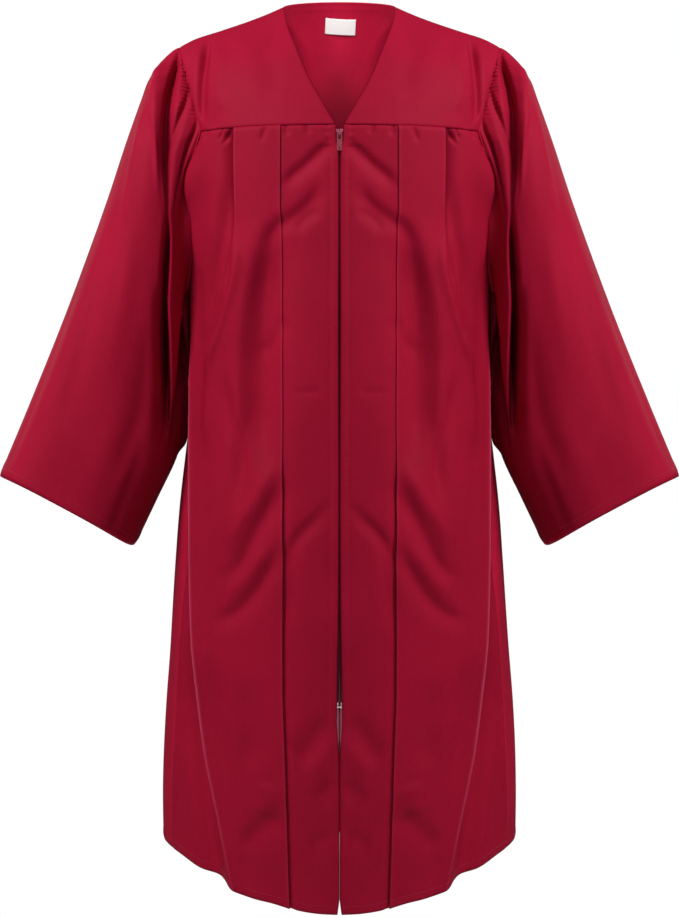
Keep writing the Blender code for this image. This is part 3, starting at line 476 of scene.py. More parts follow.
def cloth_piece(name, points, flat_map, finish, wall=WALL, closed=False, pressed=None):
    """A grid of cloth at points (rows, columns, 3) in millimetres with its flat map in metres."""
    rows, columns = points.shape[0] - 1, points.shape[1] - 1
    mesh = bpy.data.meshes.new(name)
    bm = bmesh.new()
    bmesh.ops.create_grid(bm, x_segments=columns, y_segments=rows, size=0.5)
    uv = bm.loops.layers.uv.new("cloth")
    # a share of painted highlight at each corner, mixed into the finish as a paler pink
    highlight_attribute = bm.verts.layers.float.new("pressed")
    spots = {}
    for vert in bm.verts:
        column, row = round((vert.co.x + 0.5) * columns), round((0.5 - vert.co.y) * rows)
        spots[vert] = flat_map[row, column]
        vert.co = points[row, column] * MM
        vert[highlight_attribute] = 0.0 if pressed is None else pressed[row, column]
    for face in bm.faces:
        for loop in face.loops:
            loop[uv].uv = spots[loop.vert]
    if closed:
        bmesh.ops.remove_doubles(bm, verts=bm.verts, dist=0.01 * MM)
    bm.to_mesh(mesh)
    bm.free()
    piece = bpy.data.objects.new(name, mesh)
    bpy.context.scene.collection.objects.link(piece)
    mesh.materials.append(finish)
    mesh.shade_smooth()
    solidify = piece.modifiers.new("cloth thickness", "SOLIDIFY")
    solidify.thickness = wall * MM
    solidify.offset = 0.0
    print(name, "faces", len(mesh.polygons), "area", round(sheet_area(points), 4), "m2")
    return piece


def dress(piece, slot, *nodes, body="gown"):
    """Let a piece ride on a body and stand for its solids; its slot is not used."""
    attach(piece, body)
    if nodes:
        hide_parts(*nodes)


# %% [markdown]
# ## Front panels
# Each front hangs from the yoke seam. Beside the zip lies a box pleat: a strip about 60 mm
# wide, narrower at the hem, whose inner fold is pressed sharp all the way down, and whose
# outer fold is pressed only to the chest and then opens into a soft ridge. The columns of the
# grid follow those folds, so the pleat has its real three layers of cloth. The folds below
# are drawn one by one: a positive depth is a trough and a negative one a ridge.

# %% Folds drawn on the fronts
FRONT_FOLDS = (
    (8, 12, 3.8, (16, -228), (45, -263), (65, -277), (77, -283), (90, -302), (98, -320)),
    (17, 25, 11.5, (60, -268), (80, -304), (89, -328), (95, -360), (99, -398), (100, -435), (98, -610)),
    (24, 11, -4.5, (84, -268), (102, -300), (111, -326), (119, -359), (127, -398), (129, -435), (128, -600)),
    (12, 12, 3.0, (114, -400), (119, -450), (118, -510), (126, -560), (132, -625)),
    (6, 10, 3.8, (2, -176), (20, -188), (43, -209), (63, -226), (74, -242)),
    (5, 8, 2.0, (20, -262), (40, -274), (58, -292)),
    (8, 10, 2.0, (66, -392), (76, -412), (88, -430), (110, -442)),
    (10, 8, 5.0, (150, -220), (150, -262), (154, -292), (166, -330), (178, -372), (190, -410)),
    (9, 7, -5.0, (136, -275), (131, -333), (140, -366), (157, -407), (176, -446), (193, -484)),
    (8, 12, 4.5, (150, -300), (150, -340), (162, -384), (178, -420), (196, -452)),
    (14, 16, -3.5, (150, -380), (172, -440), (184, -500), (188, -580)),
    (7, 10, 8.0, (252, -236), (242, -256), (237, -276), (240, -296), (250, -318), (258, -340)),
    (12, 14, -3.0, (196, -190), (200, -240), (206, -300), (200, -360)),
    (7, 7, 2.2, (214, -150), (212, -185), (216, -225)),
    (10, 13, 5.0, (68, -590), (92, -640), (110, -670), (128, -704), (152, -724), (170, -730)),
    (9, 12, -3.4, (78, -566), (107, -624), (131, -656), (150, -700)),
    (9, 13, 5.0, (68, -668), (92, -716), (108, -740), (138, -768), (164, -780), (180, -786)),
    (9, 9, -2.0, (92, -680), (110, -706), (130, -732), (150, -750)),
    (7, 10, 3.4, (6, -616), (24, -640), (47, -664), (61, -684), (64, -735), (64, -800)),
    (12, 12, 4.6, (152, -460), (142, -525), (130, -568), (134, -614), (148, -650)),
    (15, 19, 3.6, (124, -850), (119, -889), (114, -930), (108, -970)),
    (20, 22, -2.6, (90, -975), (96, -1000), (104, -1024)),
    (13, 17, 4.4, (74, -1006), (90, -1030), (108, -1046), (130, -1072)),
    (14, 17, 3.0, (12, -890), (30, -918), (44, -938), (62, -950)),
    (10, 14, -1.4, (10, -925), (26, -950), (48, -968)),
    (10, 13, 1.9, (4, -968), (18, -988), (34, -1002)),
    (10, 13, 1.9, (4, -1034), (22, -1048), (42, -1054)),
    (13, 13, -2.2, (190, -640), (186, -720), (184, -800), (180, -880)),
    (16, 13, 2.4, (168, -800), (164, -900), (152, -1000), (140, -1110)),
    (15, 15, -2.2, (132, -880), (136, -980), (126, -1080)),
    (20, 24, 3.4, (246, -830), (244, -940), (236, -1050), (232, -1110)),
    (16, 18, -2.4, (270, -700), (274, -840), (270, -980), (262, -1090)),
    (3, 3, 1.1, (20, -486), (40, -489), (62, -488)),
)
YOKE_GATHERS = (
    (2.6, 3.2, 1.9, (136, -150), (139, -162), (146, -172), (154, -184)),
    (2.2, 2.8, 1.5, (89, -150), (91, -160), (95, -170), (98, -182)),
    (2.4, 3.0, 1.3, (150, -150), (152, -166), (157, -178)),
    (2.4, 2.6, 1.2, (189, -152), (190, -168), (196, -186)),
    (2.8, 3.4, 1.4, (66, -148), (67, -160), (64, -174)),
    (2.8, 3.4, 1.2, (40, -150), (41, -162), (37, -172)),
    (2.4, 2.8, 1.2, (172, -152), (174, -165), (180, -175)),
    (2.4, 3.2, 1.5, (206, -152), (208, -166), (214, -182)),
    (3.0, 3.4, 1.3, (226, -152), (226, -166), (228, -186)),
)
print("front folds", len(FRONT_FOLDS), "gathers", len(YOKE_GATHERS))

# %% Columns of a front panel
LAYER_STEP, PLEAT_UNDERLAP, FOLD_NOSE = 0.85, 9.0, 0.5
PLEAT_OPENS = (-300.0, -390.0)
OUTER_CLOTH_FROM = 84


def front_columns():
    """For each column: shares of slit, inner fold, outer fold and side, then offsets and layers."""
    rows = []
    for s in np.linspace(0, 1, 33):
        rows.append((1 - s, s, 0, 0, s * PLEAT_UNDERLAP, s * PLEAT_UNDERLAP, 0, 0))
    for turn in np.radians([45, 90, 135, 180]):
        reach, layer = PLEAT_UNDERLAP + FOLD_NOSE * math.sin(turn), 0.5 - 0.5 * math.cos(turn)
        rows.append((0, 1, 0, 0, reach, reach, layer, layer))
    for s in (0.5, 1.0):
        rows.append((0, 1, 0, 0, PLEAT_UNDERLAP * (1 - s), PLEAT_UNDERLAP * (1 - s), 1, 1))
    for turn in np.radians([30, 60, 90, 120, 150, 180]):
        reach, layer = -FOLD_NOSE * math.sin(turn), 1.5 - 0.5 * math.cos(turn)
        rows.append((0, 1, 0, 0, reach, reach, layer, layer))
    for s in np.linspace(0.04, 1, 24):
        rows.append((0, 1 - s, s, 0, 0, 0, 2, 2))
    turns = np.radians([30, 60, 90, 120, 150, 180])
    opens = ((1.5, 1.95), (3, 1.85), (5, 1.7), (7, 1.5), (9, 1.3), (11, 1.1))
    for turn, (away, layer) in zip(turns, opens):
        rows.append((0, 0, 1, 0, FOLD_NOSE * math.sin(turn), away, 1.5 + 0.5 * math.cos(turn), layer))
    for s, (away, layer) in zip((0.5, 1.0), ((13, 0.9), (15, 0.7))):
        rows.append((0, 0, 1, 0, -PLEAT_UNDERLAP * s, away, 1, layer))
    opens = ((17, 0.5), (19, 0.3), (21.5, 0.12), (24, 0))
    for turn, (away, layer) in zip(np.radians([45, 90, 135, 180]), opens):
        reach = -PLEAT_UNDERLAP - FOLD_NOSE * math.sin(turn)
        rows.append((0, 0, 1, 0, reach, away, 0.5 + 0.5 * math.cos(turn), layer))
    for s in np.linspace(0, 1, 101)[1:]:
        rows.append((0, 0, 1 - s, s, -PLEAT_UNDERLAP * (1 - s), 24 * (1 - s), 0, 0))
    return np.array(rows).T


FRONT_COLUMNS = front_columns()
print("columns in a front", FRONT_COLUMNS.shape[1])


# %% Place every point of a front
def front_reach(height):
    """How far round and on which layer every column lies, at heights (rows, columns)."""
    slit, inner, outer, side, closed, opened, layer_closed, layer_open = FRONT_COLUMNS
    end = armhole_around(height, "front") - 0.12
    around = (slit * edge("zip_gap", height) + inner * edge("pleat_in", height)
              + outer * edge("pleat_out", height) + side * end)
    opening = smooth_step((PLEAT_OPENS[0] - height) / (PLEAT_OPENS[0] - PLEAT_OPENS[1]))
    around = around + closed * (1 - opening) + opened * opening
    return around, layer_closed * (1 - opening) + layer_open * opening


def seam_roll(distance, depth=0.7, reach=1.6):
    """Cloth turns in where it meets a seam."""
    return -depth * bell(distance, reach)


ARMHOLE_LOOP_NAMES = ("height", "out", "forward")
ARMHOLE_LOOP = ((-163, 0, 0), (-190, 4, 3), (-209, 8, 6), (-245, 11, 8), (-274, 10, 7), (-298, 8, 5),
                (-312, 4, 2), (-324, 0, 0))


def armhole_loop(height):
    """How far the cloth at the armhole bulges out and forward over the sleeve."""
    height = np.clip(height, -324, -163)
    out, forward = (smooth_read(ARMHOLE_LOOP, ARMHOLE_LOOP_NAMES, n, height) for n in ("out", "forward"))
    return np.stack([out, -forward, 0 * out], -1)


FOLD_GAIN, GATHER_GAIN = 1.25, 1.7
HEM_TURN, HEM_STITCH, TOPSTITCH = 13, 10.5, 10.5
TUCK_DEPTH, TUCK_SPREAD, UNDER_EDGE = 19, 14, 3


def front_grid():
    """The height, the distance around and the layer of every point, and the seam and hem lines."""
    down = np.r_[np.linspace(0, 0.03, 16), np.linspace(0.03, 1, 236)[1:]][:, None]
    top, _ = front_reach(np.full((1, FRONT_COLUMNS.shape[1]), YOKE_SEAM_HEIGHT))
    low, _ = front_reach(np.full((1, FRONT_COLUMNS.shape[1]), SIDE_HEM_HEIGHT))
    start, hem = yoke_seam_height(top, "front") - 0.15, hem_height(low)
    height = start + (hem - start) * down
    return (height, *front_reach(height), start - height, height - hem)


def drawn_folds(height, around, from_seam):
    """Folds and gathers drawn one by one, calmer at the side seam and at the yoke seam."""
    soft = FOLD_GAIN * folds(FRONT_FOLDS, around, height) * smooth_step(from_seam / 25)
    soft += ripple(around, height) * smooth_step(from_seam / 60)
    to_side = smooth_step((armhole_around(height, "front") - around) / 16)
    soft *= 1 - (1 - to_side) * smooth_step((-height - 320) / 30)
    return soft + GATHER_GAIN * folds(YOKE_GATHERS, around, height) * smooth_step(from_seam / 4)


def pleat_dips(height, around, layer, from_seam):
    """The cloth sinks under the pleat's outer fold, and lower down under its inner fold."""
    outer_cloth = np.arange(around.shape[1]) > OUTER_CLOTH_FROM
    tucked = bell(around - edge("pleat_out", height) + UNDER_EDGE, TUCK_SPREAD)
    tucked *= smooth_step((height + 370) / 90)
    dips = -TUCK_DEPTH * tucked * outer_cloth * smooth_step(from_seam / 16)
    groove = bell(around - edge("pleat_in", height) + UNDER_EDGE, 4)
    groove *= smooth_step((-height - 560) / 60)
    return dips - 2.6 * groove * (layer < 0.5)


def zip_puckers(height, from_zip):
    """The band beside the zip stands up, dips along its stitches, and puckers."""
    zip_fade = 1 - smooth_step((-height - 880) / 60)
    soft = 0.6 * drift(-height, 10.0, 0.4) * bell(from_zip - 11, 4.5) * zip_fade
    soft += 0.5 * smooth_step((11.5 - from_zip) / 2.0) * zip_fade
    soft += -0.8 * bell(from_zip - TOPSTITCH, 1.3) * zip_fade
    return soft + 0.5 * drift(-height, 9.0, 2.0) * bell(from_zip, 5.0) * smooth_step((-height - 950) / 60)


def turned_hem(from_hem, turn=HEM_TURN):
    """The double cloth of a hem stands up a little and ends in a step."""
    return 0.45 * smooth_step((turn - from_hem) / 1.5) * smooth_step(from_hem / 2.0)


def front_points():
    """Every point of a front, its flat map, and its painted highlight along the crisp fold edges."""
    height, around, layer, from_seam, from_hem = front_grid()
    from_zip = around - edge("zip_gap", height)
    soft = drawn_folds(height, around, from_seam) + pleat_dips(height, around, layer, from_seam)
    soft += zip_puckers(height, from_zip)
    soft += seam_roll(from_seam, 1.5, 2.4) + seam_roll(from_hem, 0.5) + turned_hem(from_hem)
    soft += seam_roll(from_zip, 0.3, 1.2) * smooth_step((-height - 946) / 10)
    on_strip = (layer > 1.2) & (around < edge("pleat_out", height) + 3)
    sharp = on_strip * smooth_step((height + 300) / 60)
    past_inner, past_outer = around - edge("pleat_in", height), around - edge("pleat_out", height)
    soft += 0.5 * bell(past_inner, 2.0) * on_strip + 0.7 * bell(past_outer, 2.0) * sharp
    side_end = armhole_around(height, "front")
    soft += seam_roll(side_end - around, 0.35)
    at_armhole = np.exp(-(side_end - around) / 7.0) * smooth_step((height + 300) / 20)
    soft += 0.7 * drift(-height, 8.0, 1.2) * at_armhole * smooth_step(from_seam / 8)
    points = body_points(height, around, layer * LAYER_STEP + soft)
    points += bell(side_end - around, 26)[..., None] * armhole_loop(height)
    # painted highlight: a thin pale line along the pleat's folds and on the crest of the side fold's lip
    pressed = 0.07 * bell(past_inner, 1.0) * on_strip + 0.07 * bell(past_outer, 1.0) * sharp
    crisp = np.interp(height, *np.array(sorted(LIP), float).T)
    pressed += 0.5 * crisp * bell(around - at_level(RIDGE_AT, height) + 0.5, 1.3)
    return points, np.stack([around, height], -1) * MM, pressed


front_surface, front_map, front_painted_highlight = front_points()
for name, side in SIDES:
    piece = cloth_piece(f"front_cloth_{name}", front_surface * (side, 1, 1), front_map, CRIMSON,
                        pressed=front_painted_highlight)
    dress(piece, "crimson_cloth", f"front_panel_{name}")

# %% [markdown]
# ## Back panel
# The back is one wide piece gathered into the back yoke. Its gathers are close under the seam
# and die out on the way down, while a few long flutes run on to the hem.

# %% Back panel
BACK_FOLDS = (
    (24, 28, 9.0, (30, -300), (34, -600), (44, -900), (50, -1190)),
    (26, 30, 11.0, (86, -330), (96, -640), (110, -940), (120, -1190)),
    (26, 30, 10.0, (150, -390), (162, -660), (176, -920), (190, -1170)),
    (24, 28, -7.0, (60, -400), (66, -700), (78, -960), (84, -1190)),
    (24, 28, -8.0, (120, -470), (132, -740), (146, -980), (158, -1180)),
    (24, 28, -7.0, (174, -520), (194, -760), (212, -980), (228, -1170)),
    (8, 10, 3.0, (14, -170), (18, -260), (16, -380)),
    (7, 9, 2.6, (52, -165), (58, -230), (57, -330)),
    (9, 8, 2.8, (100, -168), (104, -270), (112, -420)),
    (8, 10, 2.4, (136, -165), (142, -240), (140, -330)),
    (8, 8, 2.6, (166, -170), (170, -240), (178, -330)),
)


BACK_GATHERS = 18


def back_points():
    share = np.linspace(-1, 1, 231)[None, :]
    down = np.r_[np.linspace(0, 0.03, 14), np.linspace(0.03, 1, 190)[1:]][:, None]

    def reach_at(height):
        end = armhole_around(height, "back") + 0.12
        middle = at_level(BACK_AT, height)
        return middle + (end - middle) * np.abs(share)

    hem = hem_height(reach_at(np.full(share.shape, SIDE_HEM_HEIGHT)))
    start = yoke_seam_height(reach_at(np.full(share.shape, YOKE_SEAM_HEIGHT)), "back") - 0.15
    height = start + (hem - start) * down
    around = reach_at(height)
    middle = at_level(BACK_AT, height)
    across = middle - around
    below, from_hem = start - height, height - hem
    edge_fade = smooth_step((1 - np.abs(share)) / 0.12)
    soft = folds(BACK_FOLDS, across * (1 + 0.06 * np.sign(share)), height + 9 * np.sign(share))
    soft += ripple(across * np.sign(share), height, 1.0)
    wave = np.cos(math.pi * BACK_GATHERS * share + 0.9 * np.sin(9.1 * share) + 0.6 * np.sin(23.0 * share))
    reach = 150 * (1 + 0.35 * np.sin(14.0 * share + 1.0))
    soft += wave * 3.2 * smooth_step(below / 12) * np.exp(-below / reach)
    fine = drift(across * np.sign(share) + 300, 7.5, 0.8)
    soft = soft * edge_fade + 0.7 * fine * np.exp(-below / 14) * smooth_step(below / 1.5)
    soft += seam_roll(below) + seam_roll(from_hem, 0.5)
    soft += turned_hem(from_hem)
    soft += seam_roll(around - armhole_around(height, "back"), 0.35)
    points = body_points(height, around, soft)
    near = bell(around - armhole_around(height, "back"), 26) * smooth_step((-268 - height) / 16)
    points += near[..., None] * armhole_loop(height)
    points[..., 0] *= np.where(share >= 0, 1, -1)
    return points, np.stack([across * np.sign(share), height], -1) * MM


back_surface, back_map = back_points()
back_piece = cloth_piece("back_cloth", back_surface, back_map, CRIMSON)
dress(back_piece, "crimson_cloth", "back_panel")

# %% [markdown]
# ## Yokes
# The yokes carry the gown on the shoulders. Each is a curved patch between four edges. The
# front ones run down into the V, and the back one has a curved neck edge that shows inside
# the V. Their edges are turned in and stitched.

# %% Edges of the yokes
SHOULDER_RIDGE = ((72, 0, 0), (94, 0, -9.5), (116, 0, -17.8), (154, 0, -30.5), (190, 0, -42.5),
                  (207, 0, -51.5))
NECK_EDGE = ((72, 0, 0), (66, -30, -27), (54, -60, -59), (37.5, -85, -99), (20, -100, -131))
FRONT_ARMHOLE_EDGE = ((207, 0, -51.5), (200, -21, -76), (191, -40, -108), (182, -54, -137))
BACK_ARMHOLE_EDGE = ((207, 0, -51.5), (202, 20, -76), (195, 39, -106), (188, 52, -136))
NECK_HALF_WIDTH, BACK_NECK_DEPTH, BACK_NECK_RISE, NECK_SHARE = 72.0, 75.0, 17.0, 0.38
YOKE_SIZE = 150
YOKE_FOLDS = (
    (4.5, 8, 12.0, (103, 2), (112, 34), (124, 72), (134, 106), (142, 146)),
    (9, 9, -1.8, (92, 24), (100, 60), (112, 100), (124, 138)),
    (16, 18, -1.4, (60, 10), (66, 60), (72, 120)),
    (10, 12, 1.0, (30, 70), (44, 100), (70, 128)),
    (5, 7, 1.3, (112, 118), (126, 138), (140, 150)),
    (9, 9, 1.0, (14, 20), (30, 50), (52, 80)),
)


def yoke_patch(inner, outer, top, bottom, across, down):
    """A surface through four edges, each a function of a share."""
    a, d = across[..., None], down[..., None]
    zero, one = np.zeros_like(across), np.ones_like(across)
    corners = ((1 - a) * (1 - d) * top(zero) + a * (1 - d) * top(one)
               + (1 - a) * d * bottom(zero) + a * d * bottom(one))
    return (1 - a) * inner(down) + a * outer(down) + (1 - d) * top(across) + d * bottom(across) - corners


def front_yoke_points(across, down):
    first, last = edge("zip_gap", YOKE_SEAM_HEIGHT), armhole_around(YOKE_CORNER_HEIGHT, "front")
    corner = body_points(YOKE_CORNER_HEIGHT, last)
    centre = body_points(YOKE_SEAM_HEIGHT, first)

    def bottom(share):
        around = first + (last - first) * share
        return body_points(yoke_seam_height(around, "front"), around)

    point = yoke_patch(lambda t: along_line((*NECK_EDGE, tuple(centre)), t),
                       lambda t: along_line((*FRONT_ARMHOLE_EDGE, tuple(corner)), t),
                       lambda t: along_line(SHOULDER_RIDGE, t), bottom, across, down)
    swell = 5 * np.sin(math.pi * across) * np.sin(math.pi * down)
    at_edges = smooth_step((1 - across) / 0.05) * smooth_step(across / 0.05)
    swell += folds(YOKE_FOLDS, across * YOKE_SIZE, down * YOKE_SIZE) * at_edges
    swell += 0.4 * ripple(across * YOKE_SIZE, down * YOKE_SIZE, 2.0)
    for gap, depth in ((across * YOKE_SIZE, 0.5), ((1 - across) * 130, 0.7), ((1 - down) * 140, 0.7),
                       (down * YOKE_SIZE, 0.5)):
        swell += seam_roll(gap, depth)
    point = point + np.array([0.0, -0.75, 0.65]) * swell[..., None]
    point[..., 1] -= 0.3 * (1 - down) ** 4
    return point


def back_yoke_points(share, down, detail=1.0):
    middle, last = at_level(BACK_AT, YOKE_SEAM_HEIGHT), armhole_around(YOKE_CORNER_HEIGHT, "back")
    corner = body_points(YOKE_CORNER_HEIGHT, last)

    def top(reach):
        turn = np.minimum(reach / NECK_SHARE, 1) * math.pi / 2
        neck = np.stack([NECK_HALF_WIDTH * np.sin(turn), BACK_NECK_DEPTH * np.cos(turn),
                         BACK_NECK_RISE * np.cos(turn)], -1)
        ridge = along_line(SHOULDER_RIDGE, (reach - NECK_SHARE) / (1 - NECK_SHARE))
        return np.where((reach > NECK_SHARE)[..., None], ridge, neck)

    def bottom(reach):
        around = middle + (last - middle) * reach
        return body_points(yoke_seam_height(around, "back"), around)

    def inner(reach):
        zero = np.zeros_like(reach)
        return top(zero) + (bottom(zero) - top(zero)) * reach[..., None]

    reach = np.abs(share)
    room = np.minimum(np.minimum(reach, 1 - reach), 0.26) * smooth_step(down / 0.45)

    point = yoke_patch(inner, lambda t: along_line((*BACK_ARMHOLE_EDGE, tuple(corner)), t),
                       top, bottom, reach, down)
    eased = sum(top(reach + room * k / 4) for k in range(-4, 5)) / 9
    point = point + (1 - down)[..., None] * (eased - top(reach))
    swell = (9 + 9 * bell(reach - 0.45, 0.25)) * np.sin(math.pi * down)
    swell *= smooth_step((1 - reach) / 0.4)
    swell += 0.5 * ripple(share * 190, down * 170, 3.0) * np.sin(math.pi * down) * detail
    for gap, depth in (((1 - reach) * 190, 0.7), ((1 - down) * 170, 0.7), (down * 170, 0.5)):
        swell += seam_roll(gap, depth) * detail
    swell += -0.5 * bell(down * 170 - 10, 1.3) * (reach < NECK_SHARE) * detail
    point = point + np.array([0.0, 0.8, 0.6]) * swell[..., None]
    on_ridge = smooth_step((reach - NECK_SHARE * 0.8) / 0.08)
    point[..., 1] += 0.3 * (1 - down) ** 4 * on_ridge
    return point * np.stack([np.where(share >= 0, 1, -1), np.ones_like(share), np.ones_like(share)], -1)


# %% Yoke pieces
across, down = np.meshgrid(np.linspace(0, 1, 81), np.linspace(0, 1, 71))
yoke_surface, yoke_map = front_yoke_points(across, down), np.stack([across, -down], -1) * YOKE_SIZE * MM
for name, side in SIDES:
    piece = cloth_piece(f"front_yoke_cloth_{name}", yoke_surface * (side, 1, 1), yoke_map, CRIMSON)
    dress(piece, "crimson_cloth", f"front_yoke_{name}")
half = np.r_[np.linspace(0, NECK_SHARE, 33), np.linspace(NECK_SHARE, 1, 49)[1:]]
share, down = np.meshgrid(np.r_[-half[:0:-1], half], np.linspace(0, 1, 71))
back_yoke_surface = back_yoke_points(share, down)
back_yoke_piece = cloth_piece("back_yoke_cloth", back_yoke_surface,
                              np.stack([share * 0.2, -down * 0.17], -1), CRIMSON)
dress(back_yoke_piece, "crimson_cloth", "back_yoke")

# %% [markdown]
# ## Sleeves
# A gown's sleeve is a wide bell. Its cap is gathered into the armhole with short fine puckers,
# a few of which go on as flutes. Under the arm the cloth hangs in deep folds beside the body.
# The sleeve is a ring of cloth that grows from the armhole to the cuff, worked out by the angle
# round the ring and the share of its length.

# %% Rings and folds of the sleeve
SLEEVE_NAMES = ("along", "top_x", "top_z", "low_x", "low_y", "low_z", "front", "back", "lift")
SLEEVE_RINGS = (
    (0.00, 208, -52, 200, 8, -282, 68, 72, 0), (0.05, 228, -63, 198, 9, -308, 77, 79, 0),
    (0.12, 242, -85, 195, 12, -345, 86, 88, 0), (0.22, 256, -121, 195, 16, -392, 95, 96, 0),
    (0.34, 276, -176, 198, 20, -442, 101, 102, 0), (0.46, 299, -244, 200, 23, -492, 104, 105, 2),
    (0.58, 327, -322, 206, 22, -542, 105, 107, 5), (0.70, 358, -404, 217, 18, -584, 107, 109, 9),
    (0.85, 398, -502, 242, 8, -638, 109, 111, 14), (1.00, 442, -604, 270, 0, -697, 112, 112, 17),
)
SLEEVE_ROUND, UNDERARM_SEAM = 2.35, 172
MM_PER_DEGREE, SLEEVE_LENGTH = 2.6, 560.0
SLEEVE_SCALE = (MM_PER_DEGREE, SLEEVE_LENGTH)
SLEEVE_FOLDS = (
    (20, 20, 10.0, (156, 0.10), (155, 0.30), (154, 0.50), (152, 0.70)),
    (18, 22, -15.0, (134, -0.06), (136, 0.08), (142, 0.16), (146, 0.24)),
    (18, 18, -11.0, (178, 0.38), (179, 0.50), (180, 0.60), (181, 0.70)),
    (22, 26, -16.0, (202, -0.06), (204, 0.08), (206, 0.20), (208, 0.36)),
    (6, 8, 19.0, (0, 0.03), (32, 0.07), (58, 0.10), (80, 0.12), (94, 0.145), (104, 0.21)),
    (9, 11, -5.0, (-6, 0.10), (18, 0.115), (54, 0.14), (74, 0.17), (90, 0.24)),
    (5, 7, 6.0, (44, 0.012), (66, 0.066), (82, 0.106), (92, 0.15)),
    (5, 7, 7.0, (68, -0.01), (84, 0.04), (94, 0.066), (102, 0.09), (110, 0.14)),
    (26, 24, 3.0, (40, 0.36), (54, 0.56), (70, 0.76), (80, 0.92)),
    (22, 24, 3.2, (96, 0.42), (104, 0.55), (110, 0.70), (110, 0.90)),
    (20, 24, -2.6, (70, 0.36), (84, 0.60), (96, 0.80), (98, 1.02)),
    (20, 26, 2.4, (18, 0.55), (30, 0.75), (40, 1.03)),
    (16, 20, 2.4, (120, 0.70), (126, 0.85), (130, 1.04)),
    (18, 22, -2.4, (34, 0.16), (48, 0.30), (60, 0.44)),
    (18, 20, 5.0, (318, 0.02), (312, 0.24), (306, 0.50)),
    (20, 20, 6.0, (276, 0.0), (270, 0.22), (264, 0.48)),
    (26, 26, 5.0, (298, 0.32), (294, 0.60), (291, 1.05)),
    (24, 26, 5.0, (244, 0.36), (248, 0.66), (251, 1.05)),
    (20, 22, -4.0, (270, 0.40), (271, 0.70), (272, 1.05)),
    (18, 20, 9.0, (208, 0.04), (207, 0.35), (206, 0.74)),
    (14, 16, -3.0, (226, 0.16), (228, 0.40), (230, 0.66)),
)
SLEEVE_HOLLOWS = (
    (9, 13, 46.0, (99, 0.16), (104, 0.26), (109, 0.35), (115, 0.44), (123, 0.53), (132, 0.62)),
    (22, 18, 32.0, (108, 0.34), (116, 0.44), (126, 0.54), (134, 0.62), (142, 0.70)),
    (12, 16, 40.0, (132, 0.10), (140, 0.18), (150, 0.26), (160, 0.36), (166, 0.50)),
)
print("sleeve folds", len(SLEEVE_FOLDS), "hollows", len(SLEEVE_HOLLOWS))


# %% The armhole's closed line
def armhole_halves():
    halves = []
    for face, yoke_edge in (("front", FRONT_ARMHOLE_EDGE), ("back", BACK_ARMHOLE_EDGE)):
        corner = body_points(YOKE_CORNER_HEIGHT, armhole_around(YOKE_CORNER_HEIGHT, face))
        upper = along_line((*yoke_edge, tuple(corner)), np.linspace(0, 1, 25))
        heights = np.linspace(YOKE_CORNER_HEIGHT, UNDERARM_HEIGHT, 41)[1:]
        lower = body_points(heights, armhole_around(heights + 0.01, face))
        if face == "front":
            lower = lower + armhole_loop(heights)
        points = np.concatenate([upper, lower])
        lengths = np.r_[0, np.cumsum(np.linalg.norm(np.diff(points, axis=0), axis=1))]
        halves.append((points, lengths / lengths[-1]))
    return halves


ARMHOLE_HALVES = armhole_halves()


def armhole_points(angle):
    angle = np.mod(angle, 360)
    share = np.where(angle <= 180, angle, 360 - angle) / 180
    sides = [np.stack([np.interp(share, lengths, points[:, k]) for k in range(3)], -1)
             for points, lengths in ARMHOLE_HALVES]
    return np.where((angle <= 180)[..., None], sides[0], sides[1])


# %% Place every point of a sleeve
def sleeve_points(angle, along):
    """The plain sleeve by angle round its ring: 0 outer line, 90 front, 180 underarm, 270 back."""
    ring = {name: smooth_read(SLEEVE_RINGS, SLEEVE_NAMES, name, along) for name in SLEEVE_NAMES}
    top = np.stack([ring["top_x"], 0 * along, ring["top_z"]], -1)
    low = np.stack([ring["low_x"], ring["low_y"], ring["low_z"]], -1)
    turn = np.radians(angle)
    power = 2 / (SLEEVE_ROUND + 0.6 * smooth_step((along - 0.4) / 0.45))
    outward = np.sign(np.cos(turn)) * np.abs(np.cos(turn)) ** power
    forward = np.sign(np.sin(turn)) * np.abs(np.sin(turn)) ** power
    point = (top + low) / 2 + (top - low) / 2 * outward[..., None]
    point[..., 1] -= np.where(forward > 0, ring["front"], ring["back"]) * forward
    point[..., 2] += ring["lift"] * np.maximum(forward, 0) ** 2
    start = armhole_points(angle)
    start[..., 0] += 0.35 + 0.3 * (1 - np.cos(turn))
    start[..., 2] += 0.3 * (1 - np.cos(turn))
    turned_in = np.clip(-along / 0.006, 0, 1)[..., None]
    start += turned_in * np.stack([-2.4 + 0 * turn, 1.6 * np.sin(turn), -1.6 * np.cos(turn)], -1)
    return start + (point - start) * smooth_step(along / 0.16)[..., None]


def sleeve_outward(angle, along):
    beside = sleeve_points(angle + 3, along) - sleeve_points(angle - 3, along)
    onward = (sleeve_points(angle, np.minimum(along + 0.03, 1.0))
              - sleeve_points(angle, np.maximum(along - 0.03, 0.0)))
    out = np.cross(beside, onward)
    out /= np.linalg.norm(out, axis=-1, keepdims=True)
    middle = (sleeve_points(0 * angle, along) + sleeve_points(0 * angle + 180, along)) / 2
    facing = np.sum(out * (sleeve_points(angle, along) - middle), -1, keepdims=True)
    return np.where(facing < 0, -out, out)


DEPTHS = np.arange(-190.0, 181.0, TABLE_STEP)
SIDE_X = np.empty((len(LEVELS), len(DEPTHS)))
for level in range(len(LEVELS)):
    last = int(BACK_AT[level] / TABLE_STEP)
    y_around = np.maximum.accumulate(BODY["y"][level, :last])
    SIDE_X[level] = np.interp(DEPTHS, y_around, BODY["x"][level, :last])


